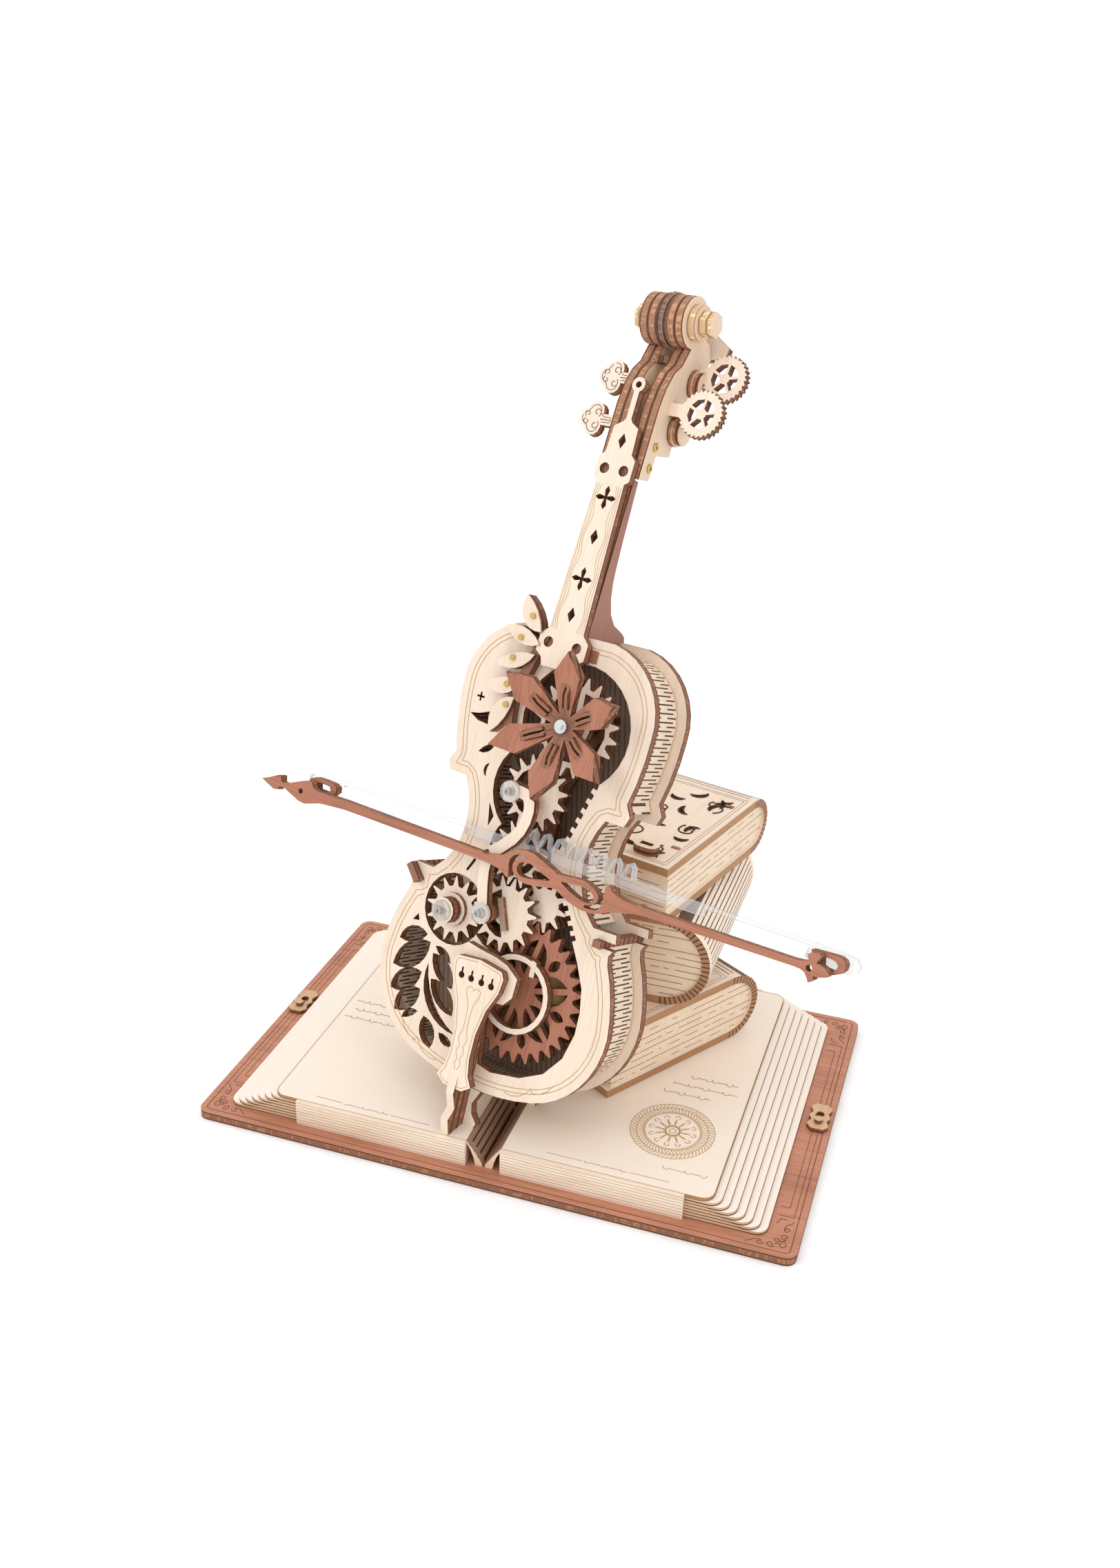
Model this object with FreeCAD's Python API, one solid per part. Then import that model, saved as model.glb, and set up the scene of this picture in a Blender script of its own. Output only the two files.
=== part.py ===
import FreeCAD, Part
import math
import os
from FreeCAD import Placement, Rotation, Vector

# A mechanical music box in laser-cut plywood: a small cello leans back on an open book,
# in front of a stack of three closed books. A wind-up movement in the body turns a train
# of spur gears, a flower on the upper gear, and two equal cranks that carry the bow.
# +X is to the viewer's right, +Y to the back, +Z up. The origin is on the table, under the
# middle of the cover board. Lengths are in millimetres, angles in degrees.

# Stock and clearances
ply = 3.2
thin_ply = 1.6
acrylic = 1.6
fit_gap = 0.3
running_gap = 0.05
layer_gap = 0.7
overrun = 1.0
facet_sag = 0.12
bore_sides = 10

# Cover board of the open book
board_length = 223.0
board_depth = 145.0
board_corner = 4.0

# Pages of the open book
pages_height = 10.0
page_layers = 8
pages_depth = 130.0
pages_shift = -1.0
page_width = 75.5
page_spread = 19.0
page_corner = 4.0
gutter_half_width = 6.5
gutter_strip = 1.2
gutter_sag = 3.4
edge_strip = 1.5
edge_strip_length = 66.0

# Clasps on the margins of the cover
clasp_length = 15.0
clasp_width = 8.0
clasp_inset = 4.9
clasp_hole = 1.6

# Closed books, from the lowest to the highest
book_board = 3.2
book_page_inset = 1.0
fore_edge_inset = 2.4
lower_book_thick = 28.0
lower_book_width = 77.0
lower_book_height = 58.0
lower_book_x = 32.0
lower_book_y = -25.0
lower_book_turn = 57.5
middle_book_thick = 37.0
middle_book_width = 60.0
middle_book_height = 77.0
middle_book_x = 1.2
middle_book_y = 0.8
upper_book_thick = 23.0
upper_book_width = 79.0
upper_book_height = 52.0
upper_book_x = 44.2
upper_book_y = -4.7
upper_book_turn = 74.5
book_loop_length = 10.0
book_loop_width = 6.4

# Stance of the cello on the pages
foot_x = -13.8
foot_y = -56.6
cello_turn = -17.26
cello_lean = 20.75
cello_roll = 0.68
neck_extra_lean = 6.35

# Sound box. Outline points are shares of the half width of the lower bout and of the
# height of the waist above the foot.
half_width = 50.0
waist_height = 100.0
body_thick = 25.4
rib_inset = 3.5
rib_thick = 1.8
lock_tab_width = 2.6
lock_tab_reach = 3.2
lock_slot_reach = 8.0
rib_gap_low = 78.6
rib_gap_high = 83.6
heel_rib_gap = 119.0

# Gear train
train_module = 1.58
drive_module = 1.6
gear_thick = 3.2
gear_front = 0.3
tooth_play = 0.26
pressure_angle = 25.0
full_height_teeth = 13
short_addendum = 0.85
root_share = 1.2
shaft_radius = 1.4
collar_radius = 3.0
crank_radius = 5.0
crank_angle = 188.0
crank_half_turn = 14.0
crank_tab_width = 2.3
crank_tab_length = 11.6
crank_tab_turn = 22.0
opening_margin = 1.2
flower_opening_margin = 4.4
flower_teeth = 20
crank_teeth = 15
idler_teeth = 13
side_teeth = 13
rosette_teeth = 30
transfer_teeth = 10
pinion_teeth = 8
flower_axis_u = 10.0
flower_axis_v = 147.9
flower_to_crank_angle = -110.7
crank_to_idler_angle = -91.3
crank_to_side_angle = 193.3
pinion_to_transfer_angle = 28.4
transfer_to_rosette_angle = -93.4

# Wind-up movement
barrel_module = 0.75
barrel_teeth = 36
cylinder_teeth = 12
governor_module = 0.5
cylinder_wheel_teeth = 30
governor_teeth = 8
movement_plate = 1.2
movement_gap = 0.6
barrel_wheel = 1.6
barrel_radius = 12.0
barrel_journal = 3.0
cylinder_radius = 5.4
pin_size = 0.5
pin_turn = 137.5
comb_teeth = 6
comb_thick = 1.0
comb_reach = 9.0
comb_slot = 0.25
governor_half_span = 2.7
governor_blade = 0.8
barrel_to_cylinder_angle = 180.0
cylinder_to_governor_angle = 135.0
cylinder_to_comb_angle = 240.0
key_half_span = 8.5
key_thick = 2.0
key_standoff = 4.0

# Bow and its arms
arm_front = 7.2
arm_width = 4.2
eye_radius = 3.8
cap_thick = 1.2
screw_stand = 0.8
bow_end_play = 0.3
bow_boss_radius = 1.75
bow_hole_radius = 1.1
rack_teeth = 8
rack_strand = 1.3

# Neck and head. Outline points are shares of the length of the neck.
neck_foot_height = 174.0
neck_stand = 3.95
neck_length = 60.0
neck_plate_outer = 7.0
head_plate_outer = 8.5
head_plate_inner = 2.2
scroll_radius = 9.0
scroll_prism_radius = 4.4
scroll_prism_length = 5.0
scroll_cap_radius = 6.0
peg_wheel_radius = 7.4
peg_wheel_teeth = 28
peg_tooth = 0.9
peg_boss_radius = 5.3

# Ring in front of the rosette
ring_centre = (10.3, 52.0)
ring_width = 1.9

# Flower
petal_reach = 25.2
petal_tilt = 21.0
petal_half_width = 5.2
petal_root_half = 2.0
petal_root_radius = 4.2
petal_root_front = 8.4
petal_slot_half = 1.8
petal_rib = 1.1
petal_rib_rise = 1.3
hub_cap_radius = 2.4
flower_first_angle = 28.0
flower_spoke_turn = 20.0


# Helpers for outlines and solids

def vec(x, y, z=0.0):
    return Vector(x, y, z)


def polar(centre, radius, angle):
    a = math.radians(angle)
    return (centre[0] + radius * math.cos(a), centre[1] + radius * math.sin(a))


def angle_between(a, b):
    return math.degrees(math.atan2(b[1] - a[1], b[0] - a[0]))


def polygon(points):
    corners = [vec(*p) for p in points]
    return Part.Wire(Part.makePolygon(corners + [corners[0]]).Edges)


def arc_points(start, via, end):
    return list_points(Part.Arc(vec(*start), vec(*via), vec(*end)).toShape())


def smooth_points(points, closed=False):
    """Points along a smooth curve through the given ones."""
    curve = Part.BSplineCurve()
    curve.interpolate([vec(*p) for p in points], PeriodicFlag=closed)
    return list_points(curve.toShape())


def list_points(edge):
    return [(p.x, p.y) for p in edge.discretize(Deflection=facet_sag)]


def outline(start, *steps):
    """A closed wire: each step is a point for a line, or a pair (via, end) for an arc."""
    points = [start]
    for step in steps:
        if isinstance(step[0], tuple):
            points += arc_points(points[-1], *step)[1:]
        else:
            points.append(step)
    if math.dist(points[-1], start) < running_gap:
        points.pop()
    return polygon(points)


def smooth(points):
    """A closed smooth wire through the points."""
    return polygon(smooth_points(points, closed=True)[:-1])


def ribbon(points, width):
    """A strip of even width along a smooth centre line, with square ends."""
    return strip_along(smooth_points(points), width)


def strip_along(line, width):
    left, right = [], []
    for i, here in enumerate(line):
        before, after = line[max(i - 1, 0)], line[min(i + 1, len(line) - 1)]
        length = math.dist(before, after)
        across = ((before[1] - after[1]) / length, (after[0] - before[0]) / length)
        left.append((here[0] + across[0] * width / 2, here[1] + across[1] * width / 2))
        right.append((here[0] - across[0] * width / 2, here[1] - across[1] * width / 2))
    return polygon(left + right[::-1])


def lens(tail, tip, bulge_share, other_share):
    """A leaf between two points; each side bulges by its own share of the length."""
    dx, dy = tip[0] - tail[0], tip[1] - tail[1]
    middle = (tail[0] + dx / 2, tail[1] + dy / 2)
    one = (middle[0] - dy * bulge_share, middle[1] + dx * bulge_share)
    two = (middle[0] - dy * other_share, middle[1] + dx * other_share)
    return outline(tail, (one, tip), (two, tail))


def raised(wire, low, high):
    """The solid between two depths whose section is the wire."""
    face = Part.Face(wire)
    face.translate(vec(0, 0, low))
    return face.extrude(vec(0, 0, high - low))


def ring_points(centre, radius, count, turn=0.0):
    return [polar(centre, radius, turn + 360.0 * i / count) for i in range(count)]


def prism(centre, radius, sides, low, high, turn=0.0):
    """A regular prism, for small round pieces."""
    return raised(polygon(ring_points(centre, radius, sides, turn)), low, high)


def disc(centre, radius, low, high):
    """A round piece with as many flats as its size needs."""
    sides = max(10, math.ceil(math.pi / math.acos(1.0 - facet_sag / radius)))
    return prism(centre, radius, sides, low, high)


def bore(centre, radius, low, high):
    """The hole that a shaft turns in; the radius is kept clear at the middle of each flat."""
    clear = radius / math.cos(math.pi / bore_sides)
    return prism(centre, clear, bore_sides, low, high)


def rounded_block(x0, x1, y0, y1, z0, z1, radius, left=True):
    """A block with rounded upright edges, at both ends or at the right end only."""
    slack = radius * (1.0 - math.sqrt(0.5))
    points = [(x1 - radius, y0)]
    points += arc_points(points[-1], (x1 - slack, y0 + slack), (x1, y0 + radius))[1:]
    points += [(x1, y1 - radius)]
    points += arc_points(points[-1], (x1 - slack, y1 - slack), (x1 - radius, y1))[1:]
    if left:
        points += [(x0 + radius, y1)]
        points += arc_points(points[-1], (x0 + slack, y1 - slack), (x0, y1 - radius))[1:]
        points += [(x0, y0 + radius)]
        points += arc_points(points[-1], (x0 + slack, y0 + slack), (x0 + radius, y0))[1:]
    else:
        points += [(x0, y1), (x0, y0)]
    return raised(polygon(points), z0, z1)


def block(x0, x1, y0, y1, z0, z1):
    return Part.makeBox(x1 - x0, y1 - y0, z1 - z0, vec(x0, y0, z0))


def flipped(points):
    return [(-x, y) for x, y in points]


def moved(shape, placement):
    copy = shape.copy()
    copy.Placement = placement.multiply(copy.Placement)
    return copy


def fused(shapes):
    whole = shapes[0].fuse(shapes[1:]) if len(shapes) > 1 else shapes[0]
    return whole.removeSplitter()


parts = {}


def keep(name, *shapes):
    solids = [solid for shape in shapes for solid in shape.Solids]
    parts[name] = solids[0] if len(solids) == 1 else Part.makeCompound(solids)


# Frames. In the body and neck frames x runs across, y up along the plate and z out of its
# front face. In the side frame x is depth behind the fingerboard, y height, z across.

pages_top = ply + pages_height
body_frame = Placement(
    vec(foot_x, foot_y, pages_top),
    Rotation(vec(0, 0, 1), cello_turn)
    .multiply(Rotation(vec(1, 0, 0), 90.0 - cello_lean))
    .multiply(Rotation(vec(0, 0, 1), cello_roll)),
)
neck_frame = body_frame.multiply(
    Placement(vec(0, neck_foot_height, neck_stand), Rotation(vec(1, 0, 0), -neck_extra_lean))
)
side_frame = neck_frame.multiply(Placement(vec(0, 0, 0), Rotation(vec(0, 1, 0), 90.0)))


def on_body(points):
    return [(x * half_width, y * waist_height) for x, y in points]


def at_body(x_share, y_share):
    return (x_share * half_width, y_share * waist_height)


def on_neck(points):
    return [(x * neck_length, y * neck_length) for x, y in points]


# Depth of the fingerboard's back face, as a share of the length of the neck
behind_board = ply / neck_length

# Layers in depth behind the front face of the sound box
gear_back = gear_front - gear_thick
drive_front = gear_back - layer_gap
drive_back = drive_front - gear_thick
pinion_front = drive_back - layer_gap
pinion_back = pinion_front - gear_thick
bridge_front = pinion_back - layer_gap
bridge_back = bridge_front - ply
plate_back = ply - body_thick
box_back = -body_thick


# Gears

def mesh_distance(module, teeth_a, teeth_b):
    return module * (teeth_a + teeth_b) / 2


def addendum_share(teeth):
    return 1.0 if teeth >= full_height_teeth else short_addendum


def tip_radius(module, teeth):
    return module * (teeth / 2 + addendum_share(teeth))


def gear_wire(centre, teeth, module, phase):
    """Teeth cut from the chords of involutes, one at the phase angle; the fine ones are pointed."""
    pressure = math.radians(pressure_angle)
    pitch = module * teeth / 2
    base = pitch * math.cos(pressure)
    tip = tip_radius(module, teeth)
    root = pitch - module * root_share
    half_pitch = math.pi / (2 * teeth) - tooth_play / (4 * pitch)
    rise = math.tan(pressure) - pressure

    def half_angle(radius):
        alpha = math.acos(min(1.0, base / radius))
        return half_pitch + rise - (math.tan(alpha) - alpha)

    foot = half_angle(max(root, base))
    point = half_angle(tip) if module > 1.0 else 0.0
    corners = []
    for k in range(teeth):
        axis = math.radians(phase) + 2 * math.pi * k / teeth
        corners += [(root, axis - foot), (tip, axis - point)]
        if point > 0:
            corners.append((tip, axis + point))
        corners.append((root, axis + foot))
    return polygon([polar(centre, radius, math.degrees(a)) for radius, a in corners])


def meshing_phase(angle, teeth_a, phase_a, teeth_b):
    """Phase of gear b in mesh with gear a; the angle points from a to b."""
    return angle + 180.0 - (0.5 - teeth_a * (angle - phase_a) / 360.0) * 360.0 / teeth_b


def windows(centre, inner, outer, spokes, bar, turn, sides=15):
    """Cutters between the spokes of a wheel."""
    low, high = -body_thick, body_thick
    ring = prism(centre, outer, sides, low, high, turn).cut(prism(centre, inner, sides, low, high, turn))
    for k in range(spokes):
        spoke = block(0, outer + overrun, -bar / 2, bar / 2, low, high)
        spoke.rotate(vec(0, 0, 0), vec(0, 0, 1), turn + 360.0 * k / spokes)
        spoke.translate(vec(*centre))
        ring = ring.cut(spoke)
    return ring


flower_axis = (flower_axis_u, flower_axis_v)
upper_crank = polar(
    flower_axis, mesh_distance(train_module, flower_teeth, crank_teeth), flower_to_crank_angle
)
idler_axis = polar(
    upper_crank, mesh_distance(train_module, crank_teeth, idler_teeth), crank_to_idler_angle
)
lower_crank = polar(
    idler_axis, mesh_distance(train_module, crank_teeth, idler_teeth), crank_to_idler_angle
)
side_axis = polar(
    lower_crank, mesh_distance(train_module, crank_teeth, side_teeth), crank_to_side_angle
)
transfer_axis = polar(
    lower_crank, mesh_distance(drive_module, pinion_teeth, transfer_teeth), pinion_to_transfer_angle
)
rosette_axis = polar(
    transfer_axis, mesh_distance(drive_module, transfer_teeth, rosette_teeth), transfer_to_rosette_angle
)
cylinder_axis = polar(
    rosette_axis, mesh_distance(barrel_module, barrel_teeth, cylinder_teeth), barrel_to_cylinder_angle
)
governor_axis = polar(
    cylinder_axis,
    mesh_distance(governor_module, cylinder_wheel_teeth, governor_teeth),
    cylinder_to_governor_angle,
)
upper_pin = polar(upper_crank, crank_radius, crank_angle)
lower_pin = polar(lower_crank, crank_radius, crank_angle)

rosette_phase = 3.0
transfer_phase = meshing_phase(
    transfer_to_rosette_angle + 180.0, rosette_teeth, rosette_phase, transfer_teeth
)
pinion_phase = meshing_phase(
    pinion_to_transfer_angle + 180.0, transfer_teeth, transfer_phase, pinion_teeth
)
lower_phase = 12.0
idler_phase = meshing_phase(crank_to_idler_angle + 180.0, crank_teeth, lower_phase, idler_teeth)
upper_phase = meshing_phase(crank_to_idler_angle + 180.0, idler_teeth, idler_phase, crank_teeth)
flower_phase = meshing_phase(flower_to_crank_angle + 180.0, crank_teeth, upper_phase, flower_teeth)
side_phase = meshing_phase(crank_to_side_angle, crank_teeth, lower_phase, side_teeth)
barrel_phase = 0.0
cylinder_phase = meshing_phase(barrel_to_cylinder_angle, barrel_teeth, barrel_phase, cylinder_teeth)
governor_phase = meshing_phase(
    cylinder_to_governor_angle, cylinder_wheel_teeth, 0.0, governor_teeth
)


# The open book

def make_cover_board():
    half_l, half_d = board_length / 2, board_depth / 2
    keep("cover_board", rounded_block(-half_l, half_l, -half_d, half_d, 0, ply, board_corner))


def page_stack(side):
    """Page layers that step out towards the table, each with rounded outer corners."""
    layer = pages_height / page_layers
    layers = []
    for k in range(page_layers - 1):
        reach = gutter_half_width + page_width + page_spread * (page_layers - 1 - k) / (page_layers - 1)
        low = ply + k * layer
        layers.append(page_leaf(reach, low, low + layer))
    return on_side(fused(layers), side)


def page_leaf(reach, low, high):
    half = pages_depth / 2
    return rounded_block(gutter_half_width, reach, -half, half, low, high, page_corner, left=False)


def page_sheet(side):
    """The top sheet of one page."""
    layer = pages_height / page_layers
    return on_side(page_leaf(gutter_half_width + page_width, pages_top - layer, pages_top), side)


def on_side(shape, side):
    """A right-hand shape of the open book, or its mirror image, at the shift of the pages."""
    if side < 0:
        shape = shape.mirror(vec(0, 0, 0), vec(1, 0, 0))
    return moved(shape, Placement(vec(pages_shift, 0, 0), Rotation()))


def edge_strip_solid(side, front):
    """A strip with page lines that closes the head or the tail of a page block."""
    half = pages_depth / 2
    low, high = (-half - edge_strip, -half) if front < 0 else (half, half + edge_strip)
    strip = block(gutter_half_width, gutter_half_width + edge_strip_length, low, high, ply, pages_top)
    return on_side(strip, side)


def gutter_strip_solid(side):
    """A bent strip that leads from the inner edge of a page down into the gutter."""
    inner, outer = gutter_strip / 2, gutter_half_width
    floor = ply + gutter_strip
    middle = (outer * 0.62, pages_top - gutter_sag)
    lower = (outer * 0.62 + gutter_strip * 0.5, pages_top - gutter_sag - gutter_strip)
    section = outline(
        (outer, pages_top),
        (middle, (inner, floor)),
        (inner, ply),
        (outer * 0.5, ply),
        (lower, (outer, pages_top - gutter_strip)),
    )
    half = pages_depth / 2
    strip = raised(section, -half, half)
    strip.rotate(vec(0, 0, 0), vec(1, 0, 0), 90.0)
    return on_side(strip, side)


def make_pages():
    keep("left_page_stack", page_stack(-1))
    keep("right_page_stack", page_stack(1))
    keep("page_sheets", page_sheet(-1), page_sheet(1))
    keep("page_edge_strips", *[edge_strip_solid(s, f) for s in (-1, 1) for f in (-1, 1)])
    keep("gutter_strips", gutter_strip_solid(-1), gutter_strip_solid(1))


def make_clasps():
    """A hasp on the left margin and a lock plate on the right one."""
    half_l, half_w = clasp_length / 2, clasp_width / 2
    notch = half_w * 0.55
    right = [
        (notch, -half_l), (half_w, -half_l * 0.7), (half_w * 0.7, -half_l * 0.3),
        (half_w, 0), (half_w * 0.7, half_l * 0.3), (half_w, half_l * 0.7), (notch, half_l),
    ]
    plates = []
    for side in (-1, 1):
        plate = raised(polygon(right + flipped(right)[::-1]), ply, ply + thin_ply)
        plate = plate.cut(prism((0, half_l * 0.2), clasp_hole, 8, ply, ply + thin_ply + overrun))
        knob = prism((0, -half_l * 0.45), clasp_hole, 8, ply + thin_ply, ply + thin_ply * 2)
        place = Placement(vec(side * (board_length / 2 - clasp_inset), clasp_hole * 2, 0), Rotation())
        plates.append(moved(fused([plate, knob]), place))
    keep("cover_clasps", *plates)


# The closed books

def book(width, thick, height, x, y, base, turn):
    """Cover and pages; the head faces the viewer and the round spine is at the right end."""
    round_centre = width - thick / 2
    shell = outline(
        (0, 0), (round_centre, 0), ((width, thick / 2), (round_centre, thick)), (0, thick)
    )
    inside = thick / 2 - book_board
    void = outline(
        (-overrun, book_board),
        (round_centre, book_board),
        ((round_centre + inside, thick / 2), (round_centre, thick - book_board)),
        (-overrun, thick - book_board),
    )
    leaves = outline(
        (fore_edge_inset, book_board),
        (round_centre, book_board),
        ((round_centre + inside, thick / 2), (round_centre, thick - book_board)),
        (fore_edge_inset, thick - book_board),
    )
    stand = Placement(vec(x, y, base), Rotation(vec(0, 0, 1), turn))
    upright = Placement(vec(0, height, 0), Rotation(vec(1, 0, 0), 90.0))
    cover = raised(shell, 0, height).cut(raised(void, -overrun, height + overrun))
    pages = raised(leaves, book_page_inset, height - book_page_inset)
    place = stand.multiply(upright)
    return moved(cover, place), moved(pages, place), stand


middle_book_base = pages_top + lower_book_thick
upper_book_base = middle_book_base + middle_book_thick


def make_books():
    cover, pages, stand = book(
        lower_book_width, lower_book_thick, lower_book_height,
        lower_book_x, lower_book_y, pages_top, lower_book_turn,
    )
    keep("lower_book_cover", cover)
    keep("lower_book_pages", pages)
    cover, pages, stand = book(
        middle_book_width, middle_book_thick, middle_book_height,
        middle_book_x, middle_book_y, middle_book_base, 0.0,
    )
    keep("middle_book_cover", cover)
    keep("middle_book_pages", pages)
    cover, pages, stand = book(
        upper_book_width, upper_book_thick, upper_book_height,
        upper_book_x, upper_book_y, upper_book_base, upper_book_turn,
    )
    keep("upper_book_cover", cover.cut(book_fretwork(stand)))
    keep("upper_book_pages", pages)
    keep("upper_book_loop", book_loop(stand))


def book_fretwork(stand):
    """Scrolls and stars cut through the front board of the highest book."""
    low = upper_book_thick - book_board / 2
    high = upper_book_thick + overrun
    w, h = upper_book_width, upper_book_height
    cutters = []
    for x_share, y_share, turn in fret_star_shares:
        star = []
        for k in range(5):
            star.append(polar((0, 0), book_board * 1.2, 72.0 * k + turn))
            star.append(polar((0, 0), book_board * 0.5, 72.0 * k + 36.0 + turn))
        cutter = raised(polygon(star), low, high)
        cutter.translate(vec(x_share * w, y_share * h))
        cutters.append(cutter)
    for x_share, y_share, long_share, turn in fret_leaf_shares:
        tail = (x_share * w, y_share * h)
        cutters.append(raised(lens(tail, polar(tail, long_share * w, turn), 0.42, 0.16), low, high))
    return moved(Part.makeCompound(cutters), stand)


fret_star_shares = [(0.10, 0.20, 10.0), (0.72, 0.16, 40.0)]
fret_leaf_shares = [
    (0.13, 0.34, 0.10, 70.0),
    (0.17, 0.48, 0.08, 20.0),
    (0.30, 0.10, 0.07, 100.0),
    (0.36, 0.18, 0.08, -30.0),
    (0.36, 0.34, 0.06, 60.0),
    (0.52, 0.30, 0.09, 35.0),
    (0.62, 0.20, 0.08, -20.0),
    (0.66, 0.44, 0.08, 80.0),
    (0.78, 0.34, 0.09, 130.0),
]


def book_loop(stand):
    """The loop handle that stands on the highest book."""
    half_l, half_w = book_loop_length / 2, book_loop_width / 2
    low, high = upper_book_thick, upper_book_thick + book_board
    loop = outline(
        (-half_l + half_w, -half_w),
        (half_l - half_w, -half_w),
        ((half_l, 0), (half_l - half_w, half_w)),
        (-half_l + half_w, half_w),
        ((-half_l, 0), (-half_l + half_w, -half_w)),
    )
    body = raised(loop, low, high)
    hole = block(-half_l / 2, half_l / 2, -half_w / 3, half_w / 3, low, high + overrun)
    body = body.cut(hole)
    place = Placement(vec(half_w * 2.2, half_l * 2.6, 0), Rotation(vec(0, 0, 1), 90.0))
    return moved(moved(body, place), stand)


# Sound box

def body_outline():
    """The outline of the cello, drawn for the right half and mirrored for the left."""
    right = [
        (0.36, 1.785),
        ((0.67, 1.700), (0.794, 1.510)),
        ((0.778, 1.400), (0.73, 1.280)),
        (0.774, 1.240),
        (0.746, 1.205),
        (0.60, 1.205),
        ((0.508, 1.040), (0.62, 0.885)),
        (0.70, 0.845),
        (0.885, 0.848),
        (0.90, 0.805),
        (0.86, 0.770),
        (0.87, 0.740),
        ((0.97, 0.600), (1.00, 0.500)),
        ((0.86, 0.292), (0.54, 0.180)),
        ((0.28, 0.148), (0.0, 0.140)),
    ]
    steps = [
        tuple(on_body(step)) if isinstance(step[0], tuple) else at_body(*step) for step in right
    ]
    ends = [step[1] if isinstance(step[0], tuple) else step for step in steps]
    back = []
    for i in range(len(steps) - 1, 0, -1):
        end = flipped([ends[i - 1]])[0]
        if isinstance(steps[i][0], tuple):
            back.append((flipped([steps[i][0]])[0], end))
        else:
            back.append(end)
    return outline(steps[0], *steps[1:], *back)


def fern_cuts():
    """Leaf-shaped openings in two columns on the left of the lower bout."""
    leaves = [lens(*on_body(ends), *bulges) for ends, bulges in fern_shares]
    return [raised(wire, -ply - overrun, overrun) for wire in leaves]


fern_shares = [
    (((-0.86, 0.552), (-0.62, 0.603)), (0.30, -0.18)),
    (((-0.87, 0.450), (-0.58, 0.580)), (0.22, -0.26)),
    (((-0.85, 0.362), (-0.60, 0.463)), (0.26, -0.24)),
    (((-0.77, 0.290), (-0.58, 0.400)), (0.30, -0.24)),
    (((-0.69, 0.272), (-0.56, 0.318)), (0.28, -0.10)),
    (((-0.53, 0.574), (-0.37, 0.532)), (0.24, -0.14)),
    (((-0.54, 0.545), (-0.31, 0.446)), (0.26, -0.22)),
    (((-0.51, 0.452), (-0.26, 0.352)), (0.28, -0.20)),
    (((-0.56, 0.506), (-0.20, 0.292)), (-0.26, -0.14)),
    (((-0.50, 0.312), (-0.39, 0.206)), (0.30, -0.28)),
    (((-0.34, 0.277), (-0.20, 0.249)), (0.16, -0.30)),
]


def small_cuts():
    """The star, the birds, the crescents and the small slots on the left side."""
    wires = [polygon(on_body(points)) for points in small_cut_shares]
    wires += [lens(*on_body(ends), *bulges) for ends, bulges in crescent_shares]
    star = at_body(-0.62, 1.49)
    arm, bar = ply * 0.5, ply * 0.12
    cross = [
        block(star[0] - arm, star[0] + arm, star[1] - bar, star[1] + bar, -ply - overrun, overrun),
        block(star[0] - bar, star[0] + bar, star[1] - arm, star[1] + arm, -ply - overrun, overrun),
    ]
    return [raised(wire, -ply - overrun, overrun) for wire in wires] + cross


small_cut_shares = [
    [(-0.68, 1.425), (-0.60, 1.432), (-0.50, 1.45), (-0.50, 1.40), (-0.60, 1.405)],
    [(-0.35, 1.14), (-0.29, 1.095), (-0.32, 1.055)],
    [(-0.42, 0.880), (-0.40, 0.878), (-0.35, 0.926), (-0.37, 0.930)],
    [(-0.78, 0.635), (-0.74, 0.665), (-0.72, 0.640)],
]
crescent_shares = [
    (((-0.54, 1.30), (-0.41, 1.345)), (0.10, -0.22)),
    (((-0.43, 1.22), (-0.42, 1.272)), (0.34, 0.10)),
]


def saw_edge(start, end, teeth, depth):
    """Points of a saw-tooth edge from start to end."""
    points = []
    dx, dy = (end[0] - start[0]) / teeth, (end[1] - start[1]) / teeth
    length = math.hypot(dx, dy)
    across = (dy / length * depth, -dx / length * depth)
    for k in range(teeth):
        foot = (start[0] + dx * k, start[1] + dy * k)
        points.append(foot)
        points.append((foot[0] + dx * 0.45, foot[1] + dy * 0.45))
        points.append((foot[0] + dx * 0.45 + across[0], foot[1] + dy * 0.45 + across[1]))
        points.append((foot[0] + dx * 0.95 + across[0], foot[1] + dy * 0.95 + across[1]))
    return points


def centre_cuts():
    """The opening down the middle: a circle round each gear, and the saw-toothed side."""
    circles = [
        (flower_axis, tip_radius(train_module, flower_teeth) + flower_opening_margin),
        (upper_crank, tip_radius(train_module, crank_teeth) + flower_opening_margin),
        (idler_axis, tip_radius(train_module, idler_teeth) + opening_margin),
        (lower_crank, tip_radius(train_module, crank_teeth) + opening_margin),
        (side_axis, tip_radius(train_module, side_teeth) + opening_margin),
    ]
    cutters = [disc(c, r, -ply - overrun, overrun) for c, r in circles]
    saw = ply * 0.5
    upper = [at_body(0.0, 1.25), at_body(0.0, 1.06)]
    upper += saw_edge(at_body(0.30, 1.06), at_body(0.46, 1.32), 7, saw)
    lower = [at_body(0.0, 0.98), at_body(0.0, 0.60), at_body(0.0, 0.40), at_body(0.04, 0.23)]
    lower += on_body([(0.16, 0.22), (0.40, 0.245), (0.58, 0.295), (0.70, 0.375), (0.75, 0.47)])
    lower += on_body([(0.75, 0.55), (0.72, 0.63), (0.64, 0.71)])
    lower += saw_edge(at_body(0.58, 0.76), at_body(0.36, 0.94), 6, saw)
    for points in (upper, lower):
        cutters.append(raised(polygon(points), -ply - overrun, overrun))
    return cutters


def tenon_holes():
    """Square holes for the heel tenons, and the holes of the lock tabs."""
    half = ply / 2
    holes = []
    for side in (-1, 1):
        u, v = at_body(side * 0.23, 1.735)
        holes.append(block(u - half, u + half, v - half, v + half, -ply - overrun, overrun))
    return holes


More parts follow.
